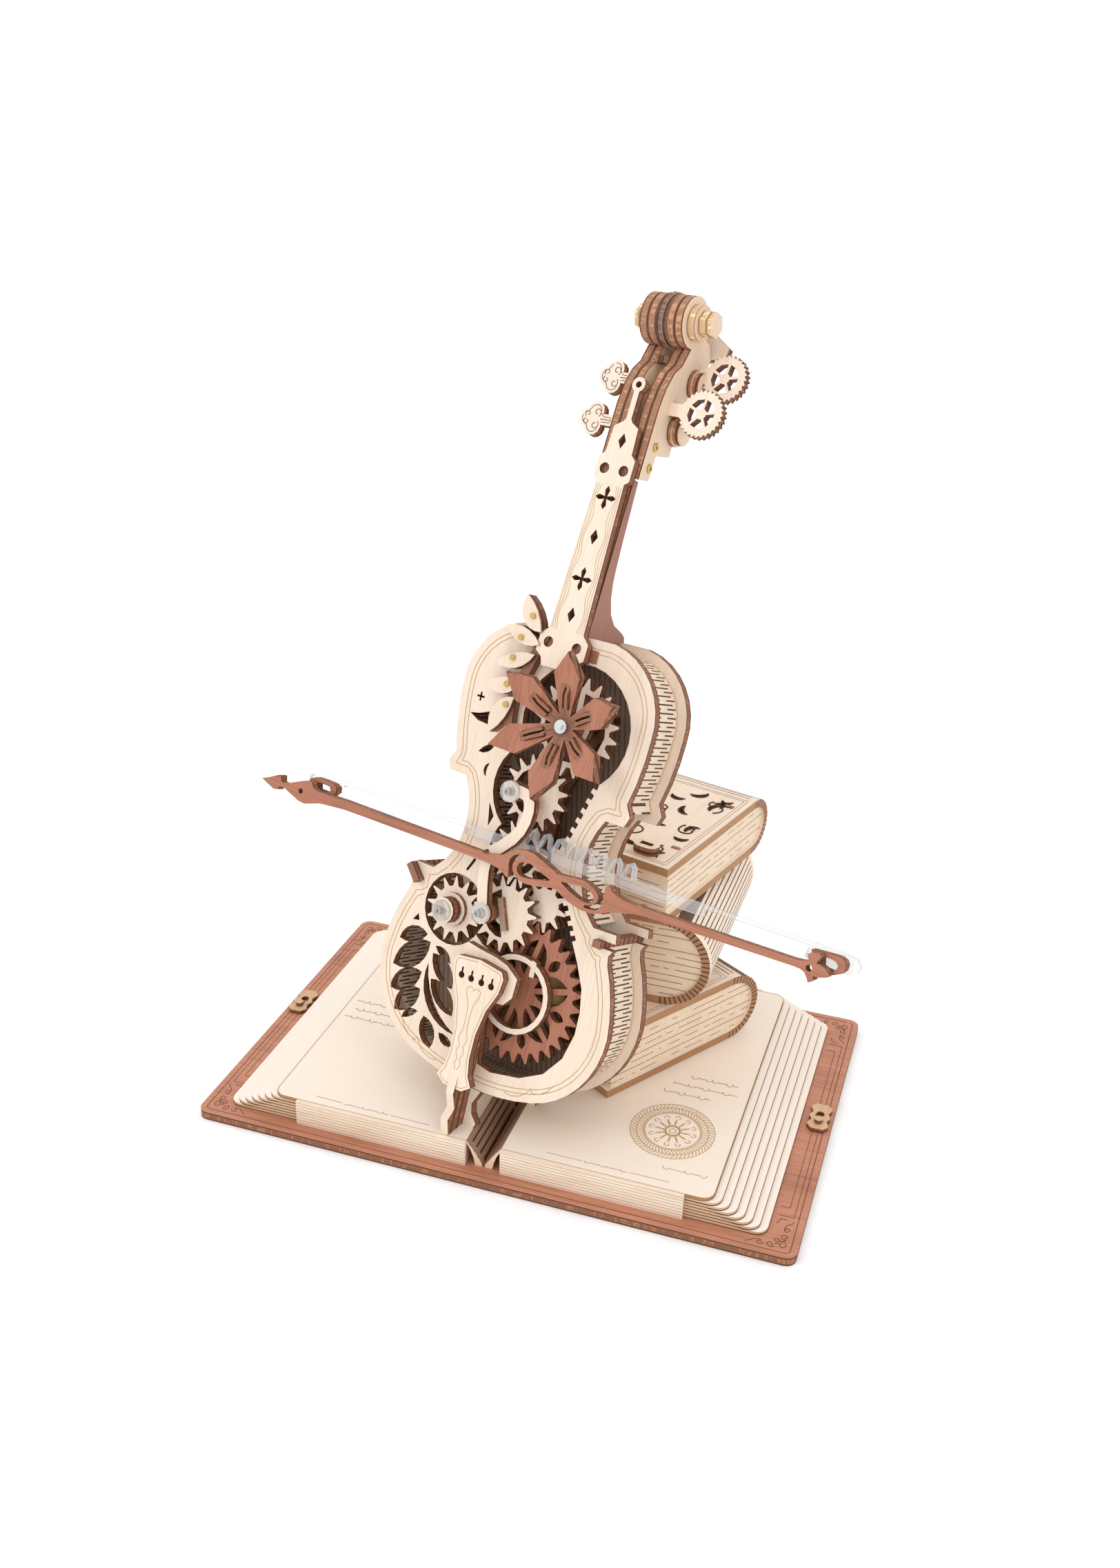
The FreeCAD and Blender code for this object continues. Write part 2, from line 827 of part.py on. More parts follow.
def lock_tab_box(place, low, high, grow=0.0, outward=0.0):
    """A bar through both plates at a lower corner: place is its middle, half length and turn."""
    u_share, v_share, half_l, turn = place
    half_w = lock_tab_width / 2 + grow
    tab = block(-half_w, half_w, -half_l - grow, half_l + grow + outward, low, high)
    tab.rotate(vec(0, 0, 0), vec(0, 0, 1), turn)
    tab.translate(vec(*at_body(u_share, v_share)))
    return tab


def lock_slots():
    """The slots of the lock tabs, open at the tip of each corner."""
    low, high = -body_thick - overrun, overrun
    return [lock_tab_box(place, low, high, running_gap, lock_slot_reach) for place in lock_tab_shares]


lock_tab_shares = [(-0.826, 0.809, 3.7, 42.0), (0.785, 0.804, 1.6, -90.0)]


def make_front_plate():
    plate = raised(body_outline(), -ply, 0)
    cutters = centre_cuts() + fern_cuts() + small_cuts() + lock_slots()
    plate = fused([plate.cut(cutters)] + ring_ornament())
    keep("front_plate", moved(max(plate.Solids, key=lambda s: s.Volume), body_frame))


def shaft_bores(axes, radius):
    return [bore(axis, radius, -body_thick - overrun, overrun) for axis in axes]


def train_axes():
    return [flower_axis, upper_crank, idler_axis, lower_crank, side_axis, transfer_axis]


def below_pages():
    """A block under the page surface, for trimming what stands on it."""
    reach = board_length
    return block(-reach, reach, -reach, reach, -reach, pages_top)


def make_back_plate():
    plate = raised(body_outline(), -body_thick, plate_back)
    u, v = at_body(0.26, 0.20)
    feet = []
    for side in (-1, 1):
        feet.append(block(side * u - ply, side * u + ply, 0, v, -body_thick, plate_back))
    plate = fused([plate] + feet)
    cutters = shaft_bores(train_axes(), shaft_radius + running_gap)
    cutters += shaft_bores([rosette_axis], shaft_radius + running_gap)
    cutters += lock_slots()
    plate = moved(plate.cut(cutters), body_frame)
    keep("back_plate", plate.cut(below_pages()))


def make_prop():
    """The wedge between the back plate and the highest book, on which the cello leans."""
    u, v = at_body(0.16, 0.97)
    wedge = block(u - ply * 2, u + ply * 2, v - ply * 2, v + ply, box_back - body_thick, box_back)
    stand = Placement(vec(upper_book_x, upper_book_y, upper_book_base), Rotation(vec(0, 0, 1), upper_book_turn))
    reach = board_length
    behind = moved(block(0, reach, -reach, reach, -reach, reach), stand)
    keep("prop_wedge", moved(wedge, body_frame).cut(behind))


def rib_pieces():
    """The bent side walls: a band inside the outline, cut apart at the four corners."""
    face = Part.Face(body_outline())
    outer = face.makeOffset2D(-rib_inset, join=2)
    inner = face.makeOffset2D(-rib_inset - rib_thick, join=2)
    low, high = plate_back, -ply
    band = moved(outer, Placement(vec(0, 0, low), Rotation())).extrude(vec(0, 0, high - low))
    core = moved(inner, Placement(vec(0, 0, low - overrun), Rotation()))
    return band.cut(core.extrude(vec(0, 0, high - low + 2 * overrun)))


def make_ribs():
    band = rib_pieces()
    reach = half_width * 2
    wide = dict(z0=-body_thick, z1=0)
    above = block(-reach, reach, heel_rib_gap, waist_height * 2, **wide)
    below = block(-reach, reach, -waist_height, rib_gap_low, **wide)
    right = block(0, reach, rib_gap_high, heel_rib_gap - fit_gap, **wide)
    left = block(-reach, 0, rib_gap_high, heel_rib_gap - fit_gap, **wide)
    tabs = [lock_tab_box(place, -body_thick, 0, fit_gap) for place in lock_tab_shares]
    keep("upper_rib", moved(band.common(above), body_frame))
    keep("lower_rib", moved(band.common(below).cut(tabs), body_frame))
    waist = [band.common(half).cut(tabs) for half in (right, left)]
    keep("waist_ribs", *[moved(rib, body_frame) for rib in waist])


def make_lock_tabs():
    bars = [lock_tab_box(place, -body_thick - lock_tab_reach / 2, lock_tab_reach) for place in lock_tab_shares]
    keep("lock_tabs", *[moved(bar, body_frame) for bar in bars])


def make_gear_bridge():
    """The inner plate that carries the shafts behind the gears, on posts to the back plate."""
    pad = collar_radius * 2
    pads = [prism(axis, pad, 10, bridge_back, bridge_front) for axis in train_axes()]
    links = []
    chain = [flower_axis, upper_crank, idler_axis, lower_crank]
    pairs = list(zip(chain, chain[1:])) + [(lower_crank, side_axis), (lower_crank, transfer_axis)]
    for a, b in pairs:
        length = math.hypot(b[0] - a[0], b[1] - a[1])
        bar = block(0, length, -pad * 0.8, pad * 0.8, bridge_back, bridge_front)
        bar.rotate(vec(0, 0, 0), vec(0, 0, 1), angle_between(a, b))
        bar.translate(vec(*a))
        links.append(bar)
    posts = []
    for axis, angle in ((flower_axis, 60.0), (side_axis, 180.0), (idler_axis, 0.0)):
        foot = polar(axis, pad * 0.72, angle)
        posts.append(prism(foot, shaft_radius * 1.3, 8, plate_back, bridge_back))
    plate = fused(pads + links).cut(shaft_bores(train_axes(), shaft_radius + running_gap))
    keep("gear_bridge", moved(plate, body_frame))
    keep("bridge_posts", *[moved(post, body_frame) for post in posts])


# Gears and what turns with them

def gear(centre, teeth, module, phase, low, high):
    return raised(gear_wire(centre, teeth, module, phase), low, high)


def shaft(centre, high, low=None):
    return disc(centre, shaft_radius, box_back if low is None else low, high)


def collar(centre, high):
    return prism(centre, collar_radius, 12, bridge_front + fit_gap, high)


def make_flower():
    wheel = gear(flower_axis, flower_teeth, train_module, flower_phase, gear_back, gear_front)
    rim = train_module * flower_teeth / 2 - train_module * 2.2
    wheel = wheel.cut(windows(flower_axis, collar_radius * 2, rim, 5, ply, flower_spoke_turn))
    wheel = fused([wheel, shaft(flower_axis, gear_back), collar(flower_axis, gear_back)])
    keep("flower_gear", moved(wheel, body_frame))

    hub_front = petal_root_front
    hub = prism(flower_axis, petal_root_radius, 12, gear_front, hub_front)
    cap = prism(flower_axis, hub_cap_radius, 12, hub_front, hub_front + cap_thick)
    screw_top = hub_front + cap_thick + screw_stand
    screw = prism(flower_axis, shaft_radius * 0.8, 8, hub_front + cap_thick, screw_top)
    hub = fused([hub, cap, screw])
    petals = [petal(flower_first_angle + 60.0 * k).cut(hub) for k in range(6)]
    keep("flower_petals", *[moved(p, body_frame) for p in petals])
    keep("flower_hub", moved(hub, body_frame))


def petal(angle):
    """A flat kite with a slot and two arched strips, tilted forward from the hub."""
    length = (petal_reach - petal_root_radius * 0.8) / math.cos(math.radians(petal_tilt))
    half, root = petal_half_width, petal_root_half
    kite = raised(
        polygon([(0, -root), (length * 0.64, -half), (length, 0), (length * 0.64, half), (0, root)]),
        -ply,
        0,
    )
    slot = block(length * 0.14, length * 0.46, -petal_slot_half, petal_slot_half, -ply - overrun, overrun)
    kite = kite.cut(slot)
    ribs = []
    for side in (-1, 1):
        y = side * petal_slot_half * 0.55
        arch = [(0.52, -ply), (0.47, 0), (0.36, petal_rib_rise), (0.16, petal_rib_rise), (0.06, -ply)]
        arch = polygon([(length * x, z) for x, z in arch])
        rib = raised(arch, -petal_rib / 2, petal_rib / 2)
        rib.rotate(vec(0, 0, 0), vec(1, 0, 0), 90.0)
        rib.translate(vec(0, y))
        ribs.append(rib)
    whole = fused([kite] + ribs)
    whole.rotate(vec(0, 0, 0), vec(0, 1, 0), -petal_tilt)
    whole.translate(vec(petal_root_radius * 0.8, 0, petal_root_front))
    whole.rotate(vec(0, 0, 0), vec(0, 0, 1), angle)
    whole.translate(vec(*flower_axis))
    return whole


def crank_gear(centre, phase):
    """A gear with a solid right half, a pierced left half and the crank pin."""
    wheel = gear(centre, crank_teeth, train_module, phase, gear_back, gear_front)
    pitch = train_module * crank_teeth / 2
    window = windows(centre, collar_radius + ply * 0.4, pitch - train_module * 2, 3, ply * 0.8, crank_angle)
    half = block(0, waist_height, -waist_height, waist_height, -body_thick, body_thick)
    half.rotate(vec(0, 0, 0), vec(0, 0, 1), crank_half_turn)
    half.translate(vec(*polar(centre, collar_radius * 0.4, 180.0)))
    wheel = wheel.cut(window.cut(half))
    half_w, half_l = crank_tab_width / 2, crank_tab_length / 2
    tab = block(-half_w, half_w, -half_l, half_l, gear_front, gear_front + thin_ply)
    tab.rotate(vec(0, 0, 0), vec(0, 0, 1), crank_tab_turn)
    tab.translate(vec(*centre))
    spot = polar(centre, crank_radius, crank_angle)
    crank_pin = disc(spot, shaft_radius, gear_front, arm_front + fit_gap)
    boss = prism(spot, eye_radius * 0.8, 12, gear_front, arm_front - ply - fit_gap)
    return [wheel, tab, crank_pin, boss, shaft(centre, gear_back)]


def crank_cap(spot):
    """The clear washer and screw that keep an arm on its crank pin."""
    low = arm_front + fit_gap
    cap = prism(spot, eye_radius, 16, low, low + cap_thick)
    screw = prism(spot, shaft_radius, 8, low + cap_thick, low + cap_thick + screw_stand)
    return fused([cap, screw])


def make_cranks():
    upper = crank_gear(upper_crank, upper_phase) + [collar(upper_crank, gear_back)]
    keep("upper_crank_gear", moved(fused(upper), body_frame))
    keep("upper_crank_cap", moved(crank_cap(upper_pin), body_frame))
    pinion = gear(lower_crank, pinion_teeth, drive_module, pinion_phase, pinion_back, pinion_front)
    lower = crank_gear(lower_crank, lower_phase) + [pinion]
    keep("lower_crank_gear", moved(fused(lower), body_frame))
    keep("lower_crank_cap", moved(crank_cap(lower_pin), body_frame))
    idler = gear(idler_axis, idler_teeth, train_module, idler_phase, gear_back, gear_front)
    idler = idler.cut(windows(idler_axis, collar_radius + ply * 0.5, train_module * 4.6, 4, ply, 0.0))
    idler = fused([idler, shaft(idler_axis, gear_back), collar(idler_axis, gear_back)])
    keep("idler_gear", moved(idler, body_frame))


def make_side_gear():
    """The gear at the left with its stepped hub and clear cap."""
    wheel = gear(side_axis, side_teeth, train_module, side_phase, gear_back, gear_front)
    step = disc(side_axis, eye_radius * 1.6, gear_front, gear_front + thin_ply)
    hub = disc(side_axis, eye_radius * 1.25, gear_front + thin_ply, arm_front - fit_gap)
    whole = fused([wheel, step, hub, shaft(side_axis, gear_back), collar(side_axis, gear_back)])
    keep("side_gear", moved(whole, body_frame))
    low = arm_front - fit_gap
    cap = prism(side_axis, eye_radius, 16, low, low + cap_thick)
    screw = prism(side_axis, shaft_radius, 8, low + cap_thick, low + cap_thick + screw_stand)
    keep("side_gear_cap", moved(fused([cap, screw]), body_frame))


def leaf_wire(tail, tip, bulge_share, other_share=0.0):
    """A leaf of few corners for what repeats: sides along the axis, bulges square to it."""
    dx, dy = tip[0] - tail[0], tip[1] - tail[1]

    def at(along, across):
        return (tail[0] + dx * along - dy * across, tail[1] + dy * along + dx * across)

    one = [at(x, y * bulge_share) for x, y in leaf_side]
    two = [at(x, -y * other_share) for x, y in reversed(leaf_side)]
    return polygon([tail] + one + [tip] + (two if other_share else []))


leaf_side = [(0.12, 0.50), (0.30, 0.88), (0.50, 1.0), (0.70, 0.88), (0.88, 0.50)]


def make_rosette():
    """The large red gear, pierced by six long leaves and six short ones."""
    wheel = gear(rosette_axis, rosette_teeth, drive_module, rosette_phase, drive_back, drive_front)
    pitch = drive_module * rosette_teeth / 2
    cutters = []
    for k in range(6):
        angle = 60.0 * k + 18.0
        for side in (-1, 1):
            tail = polar(rosette_axis, pitch * 0.26, angle + side * 9.0)
            tip = polar(rosette_axis, pitch * 0.84, angle + side * 3.0)
            cutters.append(raised(leaf_wire(tail, tip, side * 0.30), drive_back - overrun, overrun))
        tail = polar(rosette_axis, pitch * 0.60, angle + 30.0)
        tip = polar(rosette_axis, pitch * 0.85, angle + 30.0)
        cutters.append(raised(leaf_wire(tail, tip, 0.30, 0.30), drive_back - overrun, overrun))
    keep("rosette_gear", moved(wheel.cut(cutters), body_frame))


def make_transfer_gear():
    wheel = gear(transfer_axis, transfer_teeth, drive_module, transfer_phase, pinion_back, drive_front)
    whole = fused([wheel, shaft(transfer_axis, pinion_back)])
    keep("transfer_gear", moved(whole, body_frame))


# Wind-up movement

movement_front = drive_back - layer_gap
movement_frame_back = movement_front - movement_plate
barrel_front = movement_frame_back - movement_gap
cylinder_back = plate_back + movement_plate + movement_gap + governor_module * 2
barrel_back = cylinder_back + fit_gap * 2


def make_barrel():
    """The spring barrel with its toothed rim and the journal that carries the rosette."""
    rim = gear(
        rosette_axis, barrel_teeth, barrel_module, barrel_phase, barrel_front - barrel_wheel, barrel_front
    )
    drum = disc(rosette_axis, barrel_radius, barrel_back, barrel_front - barrel_wheel)
    journal = disc(rosette_axis, barrel_journal, barrel_front, drive_back)
    well = bore(rosette_axis, shaft_radius + running_gap, barrel_back - overrun, barrel_front)
    keep("spring_barrel", moved(fused([rim, drum, journal]).cut(well), body_frame))


def make_key():
    """The arbor, held in the barrel and the back plate, with its butterfly key behind."""
    arbor = disc(rosette_axis, shaft_radius, box_back - key_standoff, barrel_front - fit_gap)
    collar_low = box_back - key_standoff
    hub = prism(rosette_axis, collar_radius, 12, collar_low - ply * 2, collar_low)
    wings = []
    for side in (-1, 1):
        tip = (rosette_axis[0] + side * key_half_span, rosette_axis[1])
        wing = lens(rosette_axis, tip, 0.42, -0.42)
        middle = (rosette_axis[0] + side * key_half_span * 0.62, rosette_axis[1])
        wing = raised(wing, -key_thick / 2, key_thick / 2)
        wing = wing.cut(prism(middle, key_half_span * 0.16, 12, -key_thick, key_thick))
        wing.translate(vec(0, 0, collar_low - ply))
        wings.append(wing)
    keep("winding_key", moved(fused([arbor, hub] + wings), body_frame))


def make_cylinder():
    """The pinned cylinder with its pinion in front and its wheel behind."""
    front = barrel_front
    pinion = gear(
        cylinder_axis, cylinder_teeth, barrel_module, cylinder_phase, front - barrel_wheel, front
    )
    drum = prism(cylinder_axis, cylinder_radius, 16, barrel_back, front - barrel_wheel - fit_gap)
    neck = prism(cylinder_axis, shaft_radius * 1.5, 10, front - barrel_wheel - fit_gap, front)
    wheel = gear(
        cylinder_axis, cylinder_wheel_teeth, governor_module, 0.0,
        cylinder_back - governor_module * 2, cylinder_back,
    )
    spacer = prism(cylinder_axis, shaft_radius * 1.5, 10, cylinder_back, barrel_back)
    teeth = []
    rows = comb_teeth
    step = (drum.BoundBox.ZMax - drum.BoundBox.ZMin) / rows
    for k in range(rows):
        z = drum.BoundBox.ZMin + step * (k + 0.5)
        half = pin_size / 2
        tooth = block(0, cylinder_radius + pin_size, -half, half, z - half, z + half)
        tooth.rotate(vec(0, 0, 0), vec(0, 0, 1), k * pin_turn)
        tooth.translate(vec(*cylinder_axis))
        teeth.append(tooth)
    axle = disc(cylinder_axis, shaft_radius / 2, plate_back, movement_front)
    keep("pinned_cylinder", moved(fused([pinion, drum, neck, wheel, spacer, axle] + teeth), body_frame))


def make_governor():
    """The air brake: a small pinion and a two-bladed fan."""
    pinion = gear(
        governor_axis, governor_teeth, governor_module, governor_phase,
        cylinder_back - governor_module * 2, cylinder_back,
    )
    blade = block(
        -governor_half_span, governor_half_span, -governor_blade / 2, governor_blade / 2,
        barrel_back, barrel_front - barrel_wheel,
    )
    blade.rotate(vec(0, 0, 0), vec(0, 0, 1), cylinder_to_governor_angle + 90.0)
    blade.translate(vec(*governor_axis))
    axle = disc(governor_axis, shaft_radius / 2, plate_back, movement_front)
    keep("governor", moved(fused([pinion, blade, axle]), body_frame))


def make_movement_frame():
    """Bedplate on the back plate, bridge in front, posts between, and the comb."""
    left = cylinder_axis[0] - cylinder_radius * 2.4
    right = rosette_axis[0] + barrel_radius * 1.35
    top = rosette_axis[1] + barrel_radius * 1.3
    bottom = rosette_axis[1] - barrel_radius * 1.45
    bed = block(left, right, bottom, top, plate_back, plate_back + movement_plate)
    bridge = block(left, right, bottom, top, movement_frame_back, movement_front)
    journals = [bore(rosette_axis, barrel_journal + running_gap, movement_frame_back - overrun, overrun)]
    pivots = [
        bore(axis, shaft_radius / 2 + running_gap, box_back - overrun, overrun)
        for axis in (cylinder_axis, governor_axis)
    ]
    arbor = bore(rosette_axis, shaft_radius + running_gap, box_back, plate_back + movement_plate + overrun)
    post_radius = shaft_radius
    inset = post_radius * 1.6
    posts = [
        prism((x, y), post_radius, 8, plate_back + movement_plate, movement_frame_back)
        for x in (left + inset, right - inset)
        for y in (bottom + inset, top - inset)
    ]
    bed = bed.cut(pivots + [arbor])
    bridge = bridge.cut(pivots + journals)
    keep("movement_frame", *[moved(shape, body_frame) for shape in [bed, bridge] + posts])
    keep("tuned_comb", moved(comb(), body_frame))


def comb():
    """Steel tongues that point at the cylinder, on a block that stands on the bedplate."""
    near = cylinder_radius + pin_size + fit_gap
    far = near + comb_reach
    low, high = barrel_back, barrel_front - barrel_wheel - fit_gap
    tongue_end = far - comb_reach * 0.3
    plate = block(near, far, -comb_thick / 2, comb_thick / 2, low, high)
    step = (high - low) / comb_teeth
    slots = [
        block(
            near - overrun, tongue_end - (comb_reach * 0.3) * k / comb_teeth, -comb_thick, comb_thick,
            low + step * k - comb_slot / 2, low + step * k + comb_slot / 2,
        )
        for k in range(1, comb_teeth)
    ]
    base = block(
        tongue_end, far, -comb_thick * 1.5, comb_thick * 1.5, plate_back + movement_plate, high
    )
    whole = fused([plate.cut(slots), base])
    whole.rotate(vec(0, 0, 0), vec(0, 0, 1), cylinder_to_comb_angle)
    whole.translate(vec(*cylinder_axis))
    return whole


# Bow and arms

bow_front = arm_front + ply
bow_back = arm_front


def make_arms():
    """Two bent arms that hang the bow on the crank pins."""
    low, high = arm_front - ply, arm_front
    joint = at_body(*bow_joint_share)
    upper = [upper_pin] + on_body(upper_arm_shares) + [joint]
    lower = [joint] + on_body(lower_arm_shares) + [lower_pin]
    arms = []
    for path, spot, play in ((upper, upper_pin, running_gap), (lower[::-1], lower_pin, bow_end_play)):
        strip = raised(ribbon(path, arm_width), low, high)
        eye = disc(spot, eye_radius, low, high)
        hole = bore(spot, shaft_radius + play, low - overrun, high + overrun)
        arms.append((fused([strip, eye]), hole))
    whole = fused([arm for arm, hole in arms]).cut([hole for arm, hole in arms])
    keep("bow_arms", moved(whole, body_frame))


bow_joint_share = (-0.16, 0.985)
upper_arm_shares = [(0.055, 1.205), (0.06, 1.11), (-0.05, 1.03)]
lower_arm_shares = [(-0.175, 0.93), (-0.155, 0.86)]


def make_bow():
    """The stick with its looped middle and its two ends, cut from one sheet, and its blocks."""
    corners = on_body(bow_head_top_shares) + smooth_points(on_body(bow_crest_shares))
    corners += smooth_points(on_body(bow_right_gap_shares))
    corners += smooth_points(on_body(bow_right_top_shares))
    corners += on_body(bow_tail_shares)
    corners += smooth_points(on_body(bow_belly_shares))
    corners += smooth_points(on_body(bow_left_gap_shares))
    corners += smooth_points(on_body(bow_hook_shares))
    corners += on_body(bow_head_bottom_shares)
    pieces = [raised(polygon(corners), bow_back, bow_front)]
    for spot in bow_boss_shares:
        pieces.append(prism(at_body(*spot), bow_boss_radius, 12, bow_back, bow_front))
    low, high = bow_back - overrun, bow_front + overrun
    holes = [raised(smooth(on_body(points)), low, high) for points in bow_loop_shares]
    holes += [prism(at_body(*spot), bow_hole_radius, 8, low, high) for spot in bow_hole_shares]
    blocks = []
    for edge, slot in bow_block_shares:
        plate = raised(polygon(on_body(edge)), arm_front - ply, bow_back)
        blocks.append(plate.cut(raised(polygon(on_body(slot)), 0, high)))
    whole = fused(pieces).cut(holes)
    keep("bow_stick", *[moved(shape, body_frame) for shape in [whole] + blocks])


# The two loops of the stick are the same ribbon, turned half round about its middle
bow_head_top_shares = [
    (-2.302, 0.9605), (-2.235, 0.9724), (-2.140, 0.9950), (-2.115, 0.9950), (-2.105, 0.9740),
    (-2.073, 0.9714), (-1.987, 0.9859), (-1.904, 1.0027), (-1.851, 1.0112), (-1.805, 1.0110),
    (-1.780, 0.9920), (-1.724, 0.9860), (-1.463, 0.9895), (-0.220, 0.9860),
]
bow_crest_shares = [
    (-0.147, 0.9830), (-0.083, 0.9854), (-0.012, 0.9985), (0.036, 1.0181), (0.098, 1.0347),
    (0.169, 1.0430), (0.246, 1.0400), (0.335, 1.0244), (0.425, 1.0068), (0.491, 1.0001),
    (0.580, 1.0116), (0.658, 1.0118), (0.729, 1.0038), (0.781, 0.9883), (0.801, 0.9725),
    (0.789, 0.9539), (0.753, 0.9409), (0.706, 0.9346),
]
bow_right_gap_shares = [
    (0.705, 0.9261), (0.766, 0.9274), (0.815, 0.9367), (0.832, 0.9560), (0.833, 0.9846),
    (0.831, 1.0080), (0.849, 1.0250),
]
bow_right_top_shares = [(0.865, 1.0230), (0.889, 1.0102), (0.950, 0.9985), (1.022, 0.9937), (1.081, 0.9937)]
bow_tail_shares = [
    (2.211, 1.0065), (2.269, 1.0100), (2.311, 1.0192), (2.290, 1.0340), (2.306, 1.0400),
    (2.324, 1.0446), (2.365, 1.0492), (2.385, 1.0414), (2.370, 1.0272), (2.363, 1.0172),
    (2.395, 1.0163), (2.426, 1.0107), (2.460, 0.9960), (2.446, 0.9860), (2.423, 0.9818),
    (2.390, 0.9759), (2.366, 0.9772), (2.360, 0.9720), (2.372, 0.9660), (2.339, 0.9515),
    (2.321, 0.9661), (2.301, 0.9780), (2.270, 0.9836), (2.223, 0.9843), (1.140, 0.9680),
]
bow_belly_shares = [
    (1.080, 0.9636), (1.009, 0.9587), (0.959, 0.9528), (0.910, 0.9426), (0.848, 0.9277),
    (0.777, 0.9162), (0.713, 0.9129), (0.620, 0.9195), (0.527, 0.9358), (0.439, 0.9509),
    (0.380, 0.9440), (0.270, 0.9341), (0.195, 0.9321), (0.137, 0.9426), (0.097, 0.9611),
    (0.087, 0.9792), (0.100, 0.9983), (0.142, 1.0083), (0.177, 1.0185),
]
bow_left_gap_shares = [
    (0.161, 1.0259), (0.107, 1.0189), (0.076, 1.0094), (0.057, 0.9917), (0.058, 0.9674),
    (0.075, 0.9379),
]
bow_hook_shares = [(0.061, 0.9308), (0.031, 0.9410), (-0.009, 0.9496), (-0.065, 0.9534), (-0.132, 0.9555)]
bow_head_bottom_shares = [
    (-0.217, 0.9560), (-1.444, 0.9553), (-1.701, 0.9440), (-1.786, 0.9307), (-1.838, 0.9233),
    (-1.904, 0.9261), (-2.000, 0.9424), (-2.072, 0.9554), (-2.110, 0.9540), (-2.130, 0.9390),
    (-2.165, 0.9360), (-2.219, 0.9445),
]
bow_loop_shares = [
    [
        (0.158, 0.9998), (0.131, 0.9858), (0.129, 0.9683), (0.160, 0.9536), (0.231, 0.9524),
        (0.313, 0.9603), (0.404, 0.9732), (0.341, 0.9840), (0.263, 0.9988), (0.202, 1.0041),
    ],
    [
        (0.501, 0.9824), (0.572, 0.9863), (0.647, 0.9910), (0.711, 0.9867), (0.756, 0.9748),
        (0.764, 0.9594), (0.748, 0.9485), (0.678, 0.9456), (0.588, 0.9576),
    ],
]
bow_boss_shares = [(-0.190, 0.9717), (1.108, 0.9818)]
bow_hole_shares = [(-1.897, 0.9648), (2.324, 0.9952)]
bow_block_shares = [
    (
        [
            (-1.891, 1.0140), (-1.834, 1.0271), (-1.750, 1.0279), (-1.665, 1.0262), (-1.618, 1.0167),
            (-1.613, 0.9960), (-1.641, 0.9829), (-1.660, 0.9650), (-1.872, 0.9650),
        ],
        [
            (-1.812, 1.0114), (-1.742, 1.0130), (-1.684, 1.0102), (-1.669, 0.9963), (-1.699, 0.9868),
            (-1.798, 0.9865),
        ],
    ),
    (
        [
            (2.286, 1.0461), (2.345, 1.0484), (2.413, 1.0511), (2.472, 1.0524), (2.507, 1.0454),
            (2.523, 1.0329), (2.520, 1.0147), (2.499, 1.0024), (2.459, 0.9921), (2.316, 0.9925),
        ],
        [
            (2.362, 1.0357), (2.416, 1.0373), (2.454, 1.0341), (2.474, 1.0242), (2.468, 1.0101),
            (2.449, 1.0024), (2.379, 1.0035),
        ],
    ),
]


def make_bow_hair():
    """The clear hair with its end plates, rail and wavy rack, behind the blocks of the stick."""
    low, high = arm_front - ply - acrylic, arm_front - ply
    strips = [raised(polygon(on_body(points)), low, high) for points in hair_shares]
    rack = raised(strip_along(rack_line(), rack_strand), low, high)
    keep("bow_hair", moved(fused(strips + [rack]), body_frame))


hair_shares = [
    [(-1.70, 1.026), (2.45, 1.048), (2.45, 1.062), (-1.70, 1.040)],
    [
        (-1.950, 1.012), (-1.930, 1.028), (-1.850, 1.037), (-1.600, 1.041), (-1.600, 1.020),
        (-1.660, 1.008), (-1.780, 1.003), (-1.900, 1.003),
    ],
    [
        (2.226, 1.0115), (2.240, 1.040), (2.300, 1.055), (2.450, 1.062), (2.558, 1.0551),
        (2.590, 1.035), (2.582, 1.0111), (2.540, 1.003), (2.450, 0.996), (2.300, 0.996),
    ],
    [(-0.44, 1.010), (1.50, 1.018), (1.50, 1.052), (-0.44, 1.042)],
]


def rack_line():
    """The middle of the wavy edge over the rail: up and down once for each finger."""
    start, end, foot, crest = rack_shares
    pitch = (end - start) / rack_teeth
    points = []
    for k in range(rack_teeth):
        x = start + pitch * k
        points += [(x + pitch * 0.08, foot), (x + pitch * 0.36, crest - 0.006)]
        points += [(x + pitch * 0.56, crest), (x + pitch * 0.74, crest - 0.012), (x + pitch * 0.80, foot + 0.008)]
    points.append((end, foot))
    return on_body(points)


rack_shares = (0.055, 0.965, 1.052, 1.103)


# Ornaments of the sound box

def ring_ornament():
    """A slim ring in front of the rosette, cut from the front plate."""
    outer = waist_height * 0.141
    ring = disc(ring_centre, outer, -ply, 0).cut(disc(ring_centre, outer - ring_width, -ply, 0))
    spoke = raised(polygon(on_body(ring_spoke_shares)), -ply, 0)
    return [ring, spoke]


ring_spoke_shares = [(0.29, 0.60), (0.33, 0.60), (0.33, 0.655), (0.29, 0.66)]


